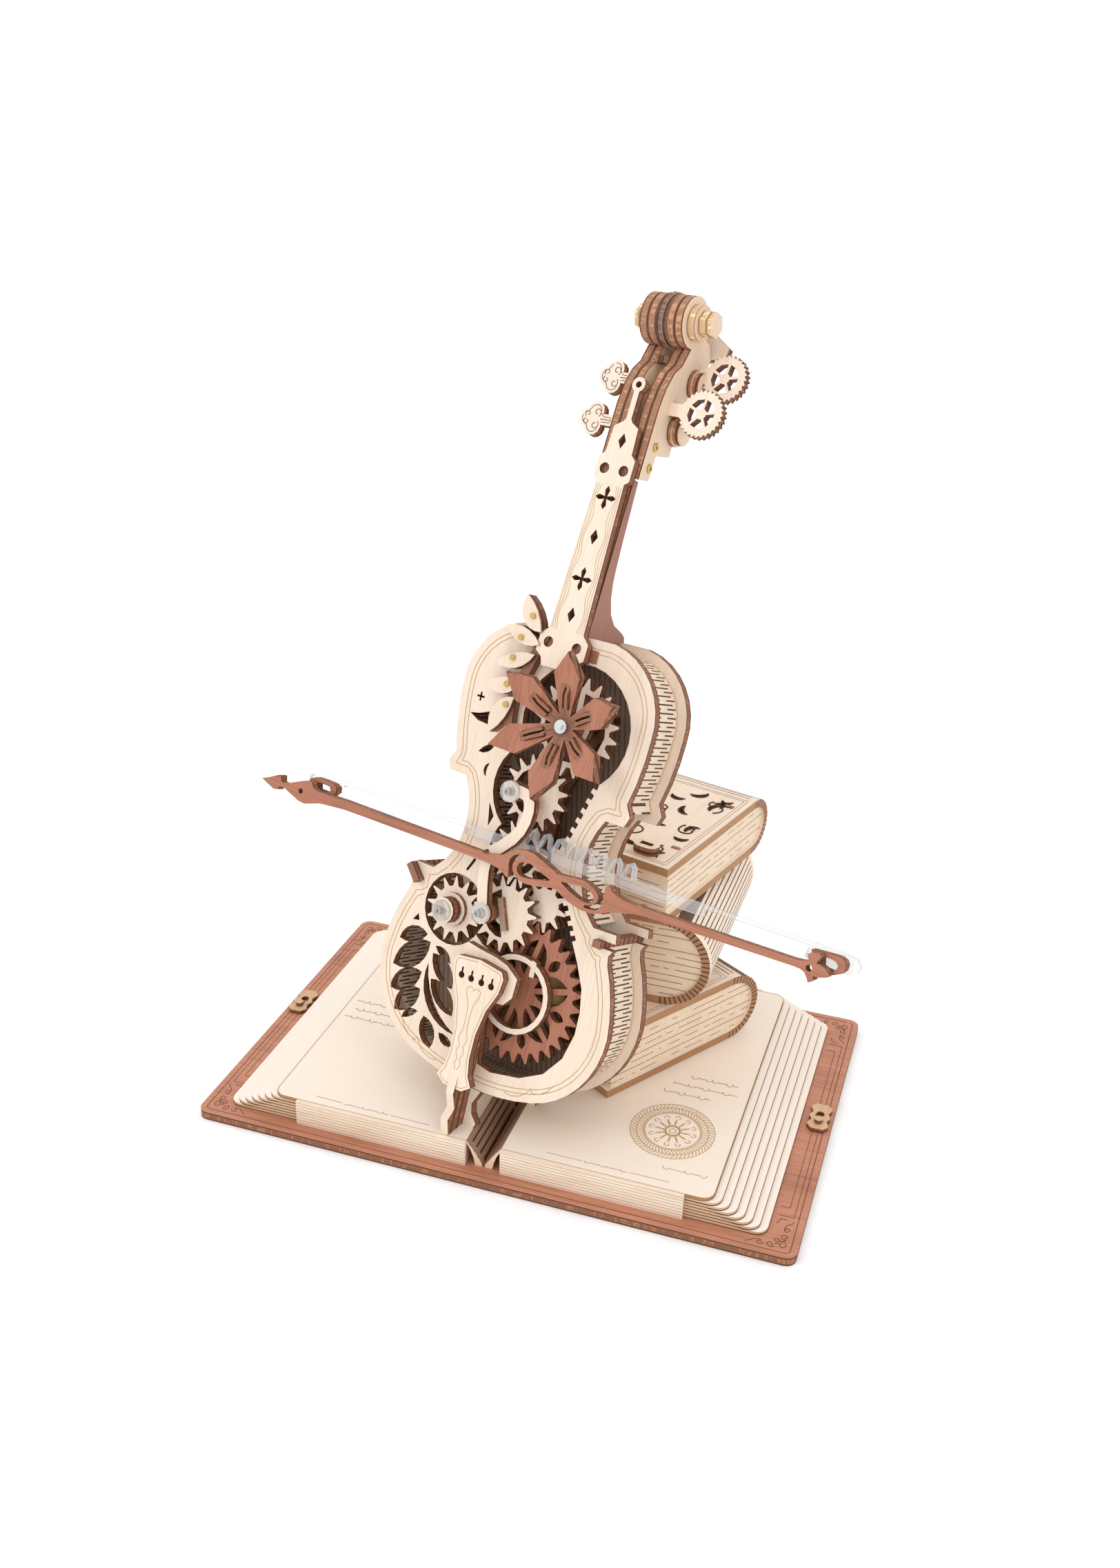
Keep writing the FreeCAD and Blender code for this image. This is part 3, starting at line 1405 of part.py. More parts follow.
def make_tailpiece():
    right = on_body([
        (0.19, 0.608), (0.216, 0.585), (0.20, 0.530), (0.132, 0.455), (0.092, 0.360),
        (0.088, 0.270), (0.108, 0.210), (0.150, 0.175), (0.08, 0.150),
    ])
    low, high = ply * 2, ply * 3
    piece = raised(polygon([at_body(0.0, 0.620)] + right + flipped(right)[::-1]), low, high)
    holes = []
    for share in (-0.13, -0.045, 0.045, 0.13):
        u, v = at_body(share, 0.545)
        holes.append(prism((u, v), ply * 0.4, 8, low - overrun, high + overrun))
        holes.append(block(u - ply * 0.12, u + ply * 0.12, v, v + ply * 0.9, low - overrun, high + overrun))
    keep("tailpiece", moved(piece.cut(holes), body_frame))
    front = raised(polygon(on_body(tail_backing_shares)), ply, ply * 2)
    spacer = raised(polygon(on_body(tail_spacer_shares)), 0, ply)
    keep("tailpiece_backing", moved(front, body_frame), moved(spacer, body_frame))


tail_backing_shares = [
    (-0.20, 0.62), (-0.18, 0.655), (-0.06, 0.646), (0.08, 0.640), (0.18, 0.628), (0.284, 0.595),
    (0.276, 0.525), (0.216, 0.490), (0.15, 0.486), (0.08, 0.44), (0.07, 0.20), (-0.07, 0.20),
    (-0.08, 0.44), (-0.16, 0.50), (-0.20, 0.56),
]
tail_spacer_shares = [(-0.18, 0.61), (-0.04, 0.61), (-0.02, 0.40), (0.03, 0.20), (-0.07, 0.20), (-0.08, 0.44)]


def make_foot():
    """The end pin: a web seen edge-on and a flared plate, both trimmed to the page."""
    web = raised(polygon([
        (ply * 3, waist_height * 0.20), (ply * 2, waist_height * 0.20), (0, waist_height * 0.14),
        (0, -ply * 2), (ply * 2, -ply * 2), (ply * 3.1, ply), (ply * 2.3, waist_height * 0.07),
        (ply * 3.2, waist_height * 0.13),
    ]), -ply / 2, ply / 2)
    web.rotate(vec(0, 0, 0), vec(0, 1, 0), -90.0)
    right = on_body([(0.12, 0.138), (0.07, 0.085), (0.085, 0.05), (0.14, 0.02), (0.10, -0.03)])
    flare = raised(polygon(right + flipped(right)[::-1]), -ply, 0)
    web, flare = moved(web, body_frame), moved(flare, body_frame)
    web = web.cut([below_pages(), parts["tailpiece_backing"], parts["tailpiece"], flare])
    keep("foot", web, flare.cut([below_pages(), parts["front_plate"]]))


def make_sprig():
    """A sprig of five riveted leaves on a dark stem at the left shoulder."""
    stem = raised(ribbon(on_body(stem_shares), ply * 1.1), 0, ply)
    keep("sprig_stem", moved(stem, body_frame).cut(parts["fingerboard"]))
    leaves, rivets = [], []
    for ends, bulges, rivet in sprig_shares:
        leaf = raised(lens(*on_body(ends), *bulges), 0, ply + thin_ply)
        leaves.append(leaf.cut(stem))
        spot = at_body(*rivet)
        rivets.append(prism(spot, ply * 0.34, 8, ply + thin_ply, ply + thin_ply * 1.5))
    keep("sprig_leaves", *[moved(leaf, body_frame).cut(parts["fingerboard"]) for leaf in leaves])
    keep("sprig_rivets", *[moved(rivet, body_frame) for rivet in rivets])


stem_shares = [(-0.15, 1.775), (-0.20, 1.72), (-0.22, 1.66), (-0.30, 1.58), (-0.32, 1.50), (-0.30, 1.42)]
sprig_shares = [
    (((-0.18, 1.765), (-0.35, 1.880)), (0.34, -0.10), (-0.27, 1.812)),
    (((-0.17, 1.722), (-0.47, 1.763)), (0.20, -0.16), (-0.33, 1.731)),
    (((-0.19, 1.685), (-0.50, 1.625)), (0.20, -0.12), (-0.36, 1.657)),
    (((-0.26, 1.578), (-0.53, 1.545)), (0.26, -0.16), (-0.36, 1.563)),
    (((-0.28, 1.525), (-0.42, 1.385)), (0.10, -0.30), (-0.33, 1.493)),
]


# Neck and head

def cross_points(reach, half):
    """A cross with four leaf-shaped arms."""
    points = []
    for turn in (0.0, 90.0, 180.0, 270.0):
        arm = [(half * 0.5, -half * 0.5), (reach * 0.65, -half), (reach, 0), (reach * 0.65, half)]
        for x, y in arm:
            a = math.radians(turn)
            points.append((x * math.cos(a) - y * math.sin(a), x * math.sin(a) + y * math.cos(a)))
    return points


def make_fingerboard():
    right = on_neck([
        (0.093, 0.95), (0.120, 0.97), (0.120, 1.09), (0.087, 1.12), (0.080, 1.27), (0.030, 1.30),
        (0.017, 1.32), (0.017, 1.50),
    ])
    lower = on_neck([(0.118, 0.08), (0.165, 0.035), (0.165, -0.06), (0.12, -0.09), (0.10, -0.14)])
    edge = lower[::-1] + right
    board = raised(polygon(edge + flipped(edge)[::-1]), -ply, 0)
    nut = prism(on_neck([(0, 1.517)])[0], neck_length * 0.043, 14, -ply, 0)
    board = fused([board, nut])
    cutters = [prism(on_neck([(0, 1.517)])[0], neck_length * 0.019, 12, -ply - overrun, overrun)]
    for x_share, y_share in ((0.064, 1.025), (0.097, 0.0)):
        for side in (-1, 1):
            spot = on_neck([(side * x_share, y_share)])[0]
            cutters.append(prism(spot, neck_length * 0.032, 10, -ply * 0.5, overrun))
    for y_share in (1.19, 0.633, 0.178):
        points = on_neck([(0.025, y_share), (0, y_share + 0.045), (-0.025, y_share), (0, y_share - 0.045)])
        cutters.append(raised(polygon(points), -ply - overrun, overrun))
    for y_share in (0.862, 0.388):
        cross = raised(polygon(cross_points(ply * 1.3, ply * 0.3)), -ply - overrun, overrun)
        cross.translate(vec(0, y_share * neck_length))
        cutters.append(cross)
    keep("fingerboard", moved(board.cut(cutters), neck_frame))


def make_neck():
    """Two tall side plates with flared heels and the core between them."""
    depth = neck_plate_outer - ply
    side = on_neck([
        (behind_board, 1.0), (0.10, 1.0), (0.112, 0.833), (0.122, 0.667), (0.137, 0.50), (0.15, 0.417),
        (0.175, 0.333), (0.225, 0.25), (0.29, 0.20), (0.40, 0.175), (0.44, 0.158), (0.458, 0.117),
        (0.375, 0.112), (0.375, 0.085), (behind_board, 0.085),
    ])
    plates = []
    for low, high in ((depth, neck_plate_outer), (-neck_plate_outer, -depth)):
        plate = moved(raised(polygon(side), low, high), side_frame)
        plates.append(plate.cut([parts["front_plate"], parts["back_plate"], parts["upper_rib"]]))
    keep("neck_side_plates", *plates)
    core = on_neck([
        (behind_board, 0.99), (0.09, 0.99), (0.10, 0.70), (0.12, 0.45), (0.17, 0.30), (0.17, 0.14),
        (behind_board, 0.14),
    ])
    return moved(raised(polygon(core), -depth, depth), side_frame)


def head_outline():
    return polygon(on_neck([
        (behind_board, 1.005), (0.158, 1.025), (0.163, 1.172), (0.305, 1.208), (0.303, 1.272), (0.375, 1.45),
        (0.42, 1.62), (0.433, 1.75), (0.45, 1.833), (0.39, 1.90), (0.26, 1.92), (0.20, 1.80),
        (0.167, 1.70), (0.108, 1.633), (0.07, 1.533), (behind_board, 1.417),
    ]))


def scroll_centre():
    return on_neck([(0.167, 1.95)])[0]


def make_head(core):
    inner = head_plate_inner
    plates = []
    for low, high in ((inner, head_plate_outer), (-head_plate_outer, -inner)):
        cheek = raised(head_outline(), low, high)
        eye = prism(scroll_centre(), scroll_radius * 0.97, 22, low, high)
        plates.append(moved(fused([cheek, eye]), side_frame))
    keep("head_plates", *plates)
    bars = []
    for x0, x1, y0, y1 in head_bar_shares:
        points = on_neck([(x0, y0), (x1, y0), (x1, y1), (x0, y1)])
        bars.append(moved(raised(polygon(points), -inner, inner), side_frame))
    keep("neck_core", core, *bars)


head_bar_shares = [
    (behind_board, 0.14, 1.02, 1.16),
    (0.24, 0.29, 1.30, 1.50),
    (0.33, 0.38, 1.70, 1.82),
    (0.15, 0.20, 1.70, 1.74),
]


def make_scroll():
    """The barrel of discs between the head plates, with a prism at each end."""
    inner = head_plate_inner
    centre = scroll_centre()
    count = 3
    step = 2 * inner / count
    discs = []
    for k in range(count):
        low = -inner + step * k
        radius = scroll_radius * (1.04 if k == 1 else 1.0)
        discs.append(moved(prism(centre, radius, 22, low, low + step), side_frame))
    keep("scroll_discs", *discs)
    outer = head_plate_outer
    cap = prism(centre, scroll_cap_radius, 24, outer, outer + ply)
    right = prism(centre, scroll_prism_radius, 6, outer + ply, outer + ply + scroll_prism_length)
    left = prism(centre, scroll_prism_radius, 6, -outer - scroll_prism_length, -outer)
    keep("scroll_ends", *[moved(shape, side_frame) for shape in (fused([cap, right]), left)])
    leaf = on_neck([
        (-0.15, 1.86), (-0.12, 1.98), (0.068, 2.023), (0.237, 1.917), (0.233, 1.858), (0.07, 1.82), (-0.12, 1.81),
    ])
    depth = neck_length * 0.45
    plate = raised(polygon(leaf), -depth - ply, -depth)
    keep("scroll_back_plate", moved(plate, neck_frame))


def make_pegs():
    """Toothed peg wheels at the right, trefoil peg heads at the left, round bosses."""
    wheels = []
    for depth_share, x_share, y_share in ((0.327, 0.333, 1.707), (0.167, 0.343, 1.45)):
        depth = depth_share * neck_length
        centre = on_neck([(x_share, y_share)])[0]
        rim = []
        for k in range(peg_wheel_teeth):
            angle = 360.0 * k / peg_wheel_teeth
            rim.append(polar(centre, peg_wheel_radius, angle))
            rim.append(polar(centre, peg_wheel_radius + peg_tooth, angle + 90.0 / peg_wheel_teeth))
        wheel = raised(polygon(rim), -depth - ply, -depth)
        wheel = wheel.cut(windows(centre, ply * 0.6, peg_wheel_radius * 0.7, 5, ply * 0.3, 12.0, 10))
        stem = block(head_plate_outer, centre[0] - peg_wheel_radius * 0.8, centre[1] - ply * 0.7,
                     centre[1] + ply * 0.7, -depth - ply, -depth)
        wheels.append(moved(fused([wheel, stem]), neck_frame))
    keep("peg_wheels", *wheels)
    heads = []
    for depth_share, x_share, y_share in ((0.117, -0.252, 1.572), (0.067, -0.27, 1.307)):
        depth = depth_share * neck_length
        centre = on_neck([(x_share, y_share)])[0]
        lobe = peg_boss_radius * 0.62
        lobes = [
            prism(polar(centre, lobe * 0.8, angle), lobe, 12, -depth - ply, -depth)
            for angle in (90.0, 180.0, 270.0)
        ]
        stem = block(centre[0], -head_plate_outer, centre[1] - ply * 0.6, centre[1] + ply * 0.6,
                     -depth - ply, -depth)
        heads.append(moved(fused(lobes + [stem]), neck_frame))
    keep("peg_heads", *heads)
    bosses = []
    for x_share, y_share in ((0.283, 1.358), (0.35, 1.65)):
        spot = on_neck([(x_share, y_share)])[0]
        low = head_plate_outer
        boss = prism(spot, peg_boss_radius, 14, low, low + thin_ply)
        face = prism(spot, peg_boss_radius * 0.86, 14, low + thin_ply, low + thin_ply * 2.5)
        bosses.append(moved(fused([boss, face]), side_frame).cut(parts["peg_wheels"]))
    keep("peg_bosses", *bosses)


def build():
    make_cover_board()
    make_pages()
    make_clasps()
    make_books()
    make_front_plate()
    make_back_plate()
    make_ribs()
    make_lock_tabs()
    make_prop()
    make_gear_bridge()
    make_flower()
    make_cranks()
    make_side_gear()
    make_rosette()
    make_transfer_gear()
    make_barrel()
    make_key()
    make_cylinder()
    make_governor()
    make_movement_frame()
    make_arms()
    make_bow()
    make_bow_hair()
    make_tailpiece()
    make_foot()
    make_fingerboard()
    make_sprig()
    make_head(make_neck())
    make_scroll()
    make_pegs()


build()
os.makedirs("parts", exist_ok=True)
for name, shape in parts.items():
    shape.exportStep(f"parts/{name}.step")
    print(name, len(shape.Solids), round(shape.Volume))
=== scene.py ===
# %% [markdown]
# # A plywood music box with a cello
#
# The real object is a wooden kit: a small cello leans back on an open book, in front of three
# closed books. The CAD model already holds every piece at its place. This script dresses it:
# it frames and lights the view, gives each piece its wood, acrylic or metal, and adds what is
# too fine for the CAD model: engraved lines, lines of painted shadow under the page sheets,
# tenon ends, screws and eyelets.

import math

import bmesh
import bpy
import numpy as np
from mathutils import Matrix, Vector


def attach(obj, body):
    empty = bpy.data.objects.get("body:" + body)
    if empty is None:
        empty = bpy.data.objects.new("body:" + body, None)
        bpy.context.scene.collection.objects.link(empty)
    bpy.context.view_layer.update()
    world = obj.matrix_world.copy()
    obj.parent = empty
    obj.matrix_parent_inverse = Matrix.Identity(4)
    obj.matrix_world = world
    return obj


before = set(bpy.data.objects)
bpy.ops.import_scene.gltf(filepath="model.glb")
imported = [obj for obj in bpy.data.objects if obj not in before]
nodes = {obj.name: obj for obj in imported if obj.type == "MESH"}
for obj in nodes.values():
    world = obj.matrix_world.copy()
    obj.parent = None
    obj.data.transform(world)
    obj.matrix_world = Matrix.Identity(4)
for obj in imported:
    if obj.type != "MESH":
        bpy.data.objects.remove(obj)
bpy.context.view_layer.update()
MM = 0.001
print("pieces from the CAD model:", len(nodes))

# %% [markdown]
# ## Planes to work in
#
# Almost every piece is cut from a flat sheet, so each sheet gets a frame of its own: x runs
# across it, y up along it and z out of its face. The cello stands turned and leaning on the
# pages, and a line on it could be worked out point by point in the room. It is easier to
# draw it in the flat, as on a cutting sheet, and to let a named frame carry it to its place.

# %% Frames of the cello and its neck
ply = 3.2
page_level = 13.2
cello_foot = (-13.8, -56.6, page_level)
cello_turn, cello_lean, cello_roll = -17.26, 20.75, 0.68
neck_root = (0.0, 174.0, 3.95)
neck_lean = 6.35


def turned(angle, axis):
    """A turn about one axis, in degrees."""
    return Matrix.Rotation(math.radians(angle), 4, axis)


def moved(x, y, z):
    """A move in millimetres."""
    return Matrix.Translation(Vector((x, y, z)) * MM)


flat_frame = Matrix.Identity(4)
body_frame = moved(*cello_foot) @ turned(cello_turn, "Z") @ turned(90.0 - cello_lean, "X")
body_frame = body_frame @ turned(cello_roll, "Z")
neck_frame = body_frame @ moved(*neck_root) @ turned(-neck_lean, "X")
side_frame = neck_frame @ turned(90.0, "Y")
print("the cello faces", [round(x, 3) for x in body_frame.to_3x3().col[2]])

# %% [markdown]
# ## The stack of books
#
# Three closed books lie on the pages behind the cello, each turned its own way. Their levels
# could be typed in, but then a thicker book would sink into the next one. Here each book has
# a width, a height and a thickness, and a loop lays it on top of the book below.

# %% Frames of the closed books
book_sizes = {
    "lower": (77.0, 58.0, 28.0),
    "middle": (60.0, 77.0, 37.0),
    "upper": (79.0, 52.0, 23.0),
}
book_places = {
    "lower": (32.0, -25.0, 57.5),
    "middle": (1.2, 0.8, 0.0),
    "upper": (44.2, -4.7, 74.5),
}
book_frames = {}
book_tops = {}
level = page_level
for book, (x, y, turn) in book_places.items():
    book_frames[book] = moved(x, y, level) @ turned(turn, "Z")
    level += book_sizes[book][2]
    book_tops[book] = level
print("tops of the books:", {book: round(top, 1) for book, top in book_tops.items()})

# %% [markdown]
# ## Camera
#
# A product photograph is taken from the front right, high enough to look down on the pages.
# A camera can be aimed by eye, but its lens and its distance are hard to tell apart that
# way. Place, turn and focal length were instead worked out together, from the corners of the
# cover board, which is a flat rectangle.

# %% Camera
sensor = 36.0
image_height = 2274.0
focal_pixels = 2169.1
camera_place = (146.88, -454.25, 356.25)
camera_turn, camera_tilt, camera_roll = 17.69, 25.89, 1.85

camera_data = bpy.data.cameras.new("photo_camera")
camera_data.lens = sensor * focal_pixels / image_height
camera_data.clip_start = 0.01
camera_data.clip_end = 50.0
camera = bpy.data.objects.new("photo_camera", camera_data)
bpy.context.scene.collection.objects.link(camera)
aimed = moved(*camera_place) @ turned(camera_turn, "Z") @ turned(90.0 - camera_tilt, "X")
camera.matrix_world = aimed @ turned(camera_roll, "Z")
bpy.context.scene.camera = camera
print("the lens has", round(camera_data.lens, 2), "mm")

# %% [markdown]
# ## Light
#
# The object stands on white, with hardly a shadow. One strong lamp would throw a hard shadow
# on the floor, so the sky itself is white and lights everything evenly. Three weak, large
# lights from the left, the right and above only give the wood its soft modelling. Their
# places are in metres.

# %% Lights and sky
light_aim = Vector((0, 0, 0.1))


def area_light(name, place, size, watts):
    """A square lamp that faces the middle of the object."""
    data = bpy.data.lights.new(name, "AREA")
    data.size = size
    data.energy = watts
    light = bpy.data.objects.new(name, data)
    bpy.context.scene.collection.objects.link(light)
    light.location = place
    light.rotation_euler = (light_aim - Vector(place)).to_track_quat("-Z", "Y").to_euler()


area_light("window_left", (-0.9, -0.8, 1.1), 0.7, 4.0)
area_light("window_right", (1.1, -0.5, 0.9), 0.8, 1.2)
area_light("ceiling", (0.1, 0.3, 1.5), 1.2, 2.5)
world = bpy.data.worlds.new("white_studio")
world.use_nodes = True
sky = world.node_tree.nodes["Background"]
sky.inputs["Color"].default_value = (1.0, 1.0, 1.0, 1.0)
sky.inputs["Strength"].default_value = 1.0
bpy.context.scene.world = world
bpy.context.scene.view_settings.view_transform = "Standard"
print("three lights under a white sky")

# %% [markdown]
# ## A small tool for materials
#
# A material is a formula over each point of a surface. Nodes can be linked one by one, but
# then the formula can't be read any more. So a thin class wraps one socket and lets it be
# added and multiplied like a number.

# %% Sockets as numbers
class Socket:
    """One output of a node, with arithmetic."""

    def __init__(self, tree, socket):
        self.tree, self.socket = tree, socket

    def node(self, kind, settings, sockets, out=0):
        """Any node: its type, its settings, then a value or a link for each named socket."""
        made = self.tree.nodes.new("ShaderNode" + kind)
        for name, value in settings.items():
            setattr(made, name, value)
        for name, value in sockets.items():
            if isinstance(value, Socket):
                self.tree.links.new(value.socket, made.inputs[name])
            else:
                made.inputs[name].default_value = value
        return Socket(self.tree, made.outputs[out])

    def math(self, operation, *values):
        return self.node("Math", {"operation": operation}, dict(enumerate(values)))

    def __add__(self, other):
        return self.math("ADD", self, other)

    __radd__ = __add__

    def __sub__(self, other):
        return self.math("SUBTRACT", self, other)

    def __rsub__(self, other):
        return self.math("SUBTRACT", other, self)

    def __mul__(self, other):
        return self.math("MULTIPLY", self, other)

    __rmul__ = __mul__

    def __truediv__(self, other):
        return self.math("DIVIDE", self, other)

    def __rtruediv__(self, other):
        return self.math("DIVIDE", other, self)

    def __gt__(self, other):
        return self.math("GREATER_THAN", self, other)

    def __lt__(self, other):
        return self.math("LESS_THAN", self, other)

    def __abs__(self):
        return self.math("ABSOLUTE", self)

    def fraction(self):
        return self.math("FRACT", self)

    def whole(self):
        return self.math("FLOOR", self)

    def root(self):
        return self.math("SQRT", self)

    def most(self, other):
        return self.math("MAXIMUM", self, other)

    def angle(self, other):
        """The angle of the point whose height is this and whose width is the other."""
        return self.math("ARCTAN2", self, other)

    def ramp(self, low, high):
        """0 at the low value, 1 at the high one."""
        settings = {"interpolation_type": "SMOOTHSTEP"}
        return self.node("MapRange", settings, {0: self, 1: low, 2: high, 3: 0.0, 4: 1.0})

    def dot(self, direction):
        return self.node("VectorMath", {"operation": "DOT_PRODUCT"}, {0: self, 1: direction}, 1)

    def mix(self, one, two):
        """The first colour where this is 0, the second where it is 1."""
        one, two = (c if isinstance(c, Socket) else (*c, 1.0) for c in (one, two))
        return self.node("Mix", {"data_type": "RGBA"}, {0: self, 6: one, 7: two}, 2)


print("sockets can be added and multiplied")

# %% [markdown]
# ## Patterns that keep to a sheet
#
# Slits, plies and grain follow the sheet that they are in, not the room. A picture wrapped
# round each piece would need its own unwrapping. Instead, each material first works out
# where a point lies in the plane of its sheet, in millimetres, and how the surface faces
# there. All patterns below are formulas over those numbers.

# %% Start a material, and drive its shader
grain_bump, grain_depth = 0.10, 0.0002


def new_material(name, plane):
    """A material with its shader, the place in a plane in millimetres, and the normal there."""
    material = bpy.data.materials.new(name)
    material.use_nodes = True
    tree = material.node_tree
    start = Socket(tree, None)
    point = start.node("TexCoord", {}, {}, "Object")
    normal = start.node("TexCoord", {}, {}, "Normal")
    axes = [plane.to_3x3().col[i] for i in range(3)]
    place = [(point.dot(a) - a.dot(plane.translation)) * 1000.0 for a in axes]
    return material, tree.nodes["Principled BSDF"], place, [normal.dot(a) for a in axes]


def drive(shader, name, value):
    """Set or link one socket of the shader."""
    if isinstance(value, Socket):
        value.tree.links.new(value.socket, shader.inputs[name])
    else:
        shader.inputs[name].default_value = (*value, 1.0) if isinstance(value, tuple) else value


def roughen(shader, height):
    """Grain that can be felt."""
    sockets = {"Strength": grain_bump, "Distance": grain_depth, "Height": height}
    drive(shader, "Normal", height.node("Bump", {}, sockets))


print("materials can be started")

# %% Lines and clouds
def ticks(along, pitch, width):
    """1 on narrow lines that repeat along a length, 0 between them."""
    return abs((along / pitch).fraction() - 0.5) < width / pitch / 2


def noise(place, scales, detail=3.0):
    """Random clouds, with a scale of their own along each axis."""
    x, y, z = (axis * scale for axis, scale in zip(place, scales))
    point = x.node("CombineXYZ", {}, {0: x, 1: y, 2: z})
    return point.node("TexNoise", {}, {"Vector": point, "Scale": 1.0, "Detail": detail})


print("patterns can be drawn")

# %% [markdown]
# ## Laser-cut plywood
#
# Laser-cut plywood shows two very different surfaces. The face of the sheet is bare wood
# with a faint long grain. The cut edge is scorched brown, darkest at both rims, with a
# lighter middle ply. Faces and edges could be picked out one by one and given two
# materials. One material does both by itself: it compares the surface's own normal with the
# normal of the sheet. Marks burnt into the face come in as one more number, 0 for bare wood
# and 1 for burnt.

# %% The plywood material
PALE = (0.87, 0.725, 0.59)
PALE_SHADE = (0.755, 0.59, 0.445)
RED = (0.45, 0.175, 0.10)
RED_SHADE = (0.25, 0.085, 0.045)
SCORCH = (0.055, 0.020, 0.010)
SCORCH_LIGHT = (0.235, 0.092, 0.042)
LINE = (0.20, 0.09, 0.042)


def wood_grain(place, grain="y"):
    """Long fibres, and a tone from 0 to 1 of fibres and slow clouds together."""
    across, along, depth = place
    if grain == "x":
        across, along = along, across
    fibres = noise((across, along, depth), (1.1, 0.05, 0.4))
    clouds = noise((across, along, depth), (0.07, 0.016, 0.05), 2.0)
    return fibres, fibres.ramp(0.40, 0.72) * 0.45 + clouds.ramp(0.35, 0.75) * 0.4


def plywood(
    name, plane, face, shade, grain="y", start=0.0,
    marks=None, edge=SCORCH, light=SCORCH_LIGHT, ink=LINE,
):
    """Sheets across the plane's z axis; start is the depth of one face of a sheet."""
    material, shader, place, facing = new_material(name, plane)
    x, y, depth = place
    is_edge = 1.0 - abs(facing[2]).ramp(0.72, 0.86)
    fibres, tone = wood_grain(place, grain)
    wood = tone.mix(face, shade)
    if marks:
        wood = marks(x, y, depth).mix(wood, ink)
    rim = abs(((abs(depth) - start) / ply).fraction() - 0.5) * 2.0
    burn = noise(place, (0.9, 0.9, 0.25))
    toasted = burn.ramp(0.50, 0.66).mix(light, tuple(share * 1.9 for share in light))
    scorched = ((burn - 0.5) * 1.1 + rim.ramp(0.45, 1.0)).ramp(0.0, 0.9).mix(toasted, edge)
    drive(shader, "Base Color", is_edge.mix(wood, scorched))
    drive(shader, "Roughness", is_edge * 0.2 + 0.55)
    roughen(shader, fibres)
    return material


print("plywood can be cut")

# %% [markdown]
# ## Marks on the sheets of the cello
#
# Some faces show more than grain. A strip lies in the slot of each petal, tenon ends close
# the four round holes of the fingerboard, and a tab ends in the face of each crank gear. The
# inside of the back plate is a row of slats, darkened all over as painted shade inside the
# body. Each could be a piece of its own. They lie level with the face or deep in a hole, so
# a mark in the material looks the same.

# %% Marks of the petals and the fingerboard
face_slack = 0.3
flower_axis = (10.0, 147.9)
petals, petal_turn = 6, 28.0
strip_half, strip_rim, strip_slit, strip_reach = 1.75, 1.5, 0.35, 14.6
pocket_depth = 1.6


def petal_strips(x, y, depth):
    """The arched strip in the slot of each petal, found by its angle about the flower."""
    u, v = x - flower_axis[0], y - flower_axis[1]
    reach = (u * u + v * v).root()
    turns = v.angle(u) * (petals / (2 * math.pi)) - petal_turn * petals / 360.0
    turn = (turns + 0.5).fraction() - 0.5
    beside = abs(reach * turn * (2 * math.pi / petals))
    strip = (beside < strip_half) * (reach < strip_reach)
    gap = (beside < strip_slit).most(beside > strip_rim)
    return strip * (gap * 0.45 + 0.55)


def pocket_floors(x, y, depth):
    """The tenon ends that close the four round holes of the fingerboard."""
    stripe = noise((x, y, depth), (2.4, 0.5, 1.0)).ramp(0.3, 0.7)
    return (abs(depth + pocket_depth) < face_slack) * (stripe * 0.25 + 0.75)


print("each of", petals, "petals has its strip")

# %% Marks of the back plate and the crank gears
back_face, back_slack = 22.2, 0.4
waist_level, waist_half, waist_tall = 100.0, 21.0, 25.0
slat_pitch, slat_gap, slat_slant = 2.2, 0.4, 0.25
tab_top = 1.9


def oval(x, y, level, tall, wide):
    """1 inside an ellipse on the middle line of the cello."""
    across, up = x / wide, (y - level) / tall
    return across * across + up * up < 1.0


def slats_in_painted_shade(x, y, depth):
    """The inner face of the back plate: painted shade over all of it, darker in the slat gaps.
    """
    bouts = oval(x, y, 50.0, 37.0, 43.012).most(oval(x, y, 145.0, 29.0, 31.623))
    waist = (abs(x) < waist_half) * (abs(y - waist_level) < waist_tall)
    inner = bouts.most(waist) * (depth > -(back_face + back_slack))
    gap = ticks(x + y * slat_slant, slat_pitch, slat_gap)
    # Painted shade darkens the whole inner face; the gaps between the slats are darker still.
    return inner * (gap * 0.35 + 0.60)


def tab_end(x, y, depth):
    """The end of the tab that stands out of the half disc of a crank gear."""
    return (abs(depth - tab_top) < face_slack) * 0.72


print("slats every", slat_pitch, "mm")

# %% [markdown]
# ## Woods of the cello
#
# The same material could serve all pieces of a colour, but then the plies would run wrong
# where sheets lie another way. So there is one for each direction and depth of the sheets.

# %% Sheets of the body
body_pale = plywood("pale_ply_body", body_frame, PALE, PALE_SHADE)
body_crank = plywood("pale_ply_crank", body_frame, PALE, PALE_SHADE, marks=tab_end)
# The back plate wears painted shade on its inner face.
body_back = plywood("pale_ply_back", body_frame, PALE, PALE_SHADE, marks=slats_in_painted_shade, start=back_face)
body_dark = plywood("dark_ply_body", body_frame, (0.30, 0.13, 0.07), (0.22, 0.09, 0.045))
body_bow = plywood("red_ply_bow", body_frame, RED, RED_SHADE, grain="x", start=7.2)
body_petal = plywood("red_ply_petals", body_frame, RED, RED_SHADE, marks=petal_strips)
body_rosette = plywood("red_ply_rosette", body_frame, RED, RED_SHADE, start=0.4)
print("the body has its woods")

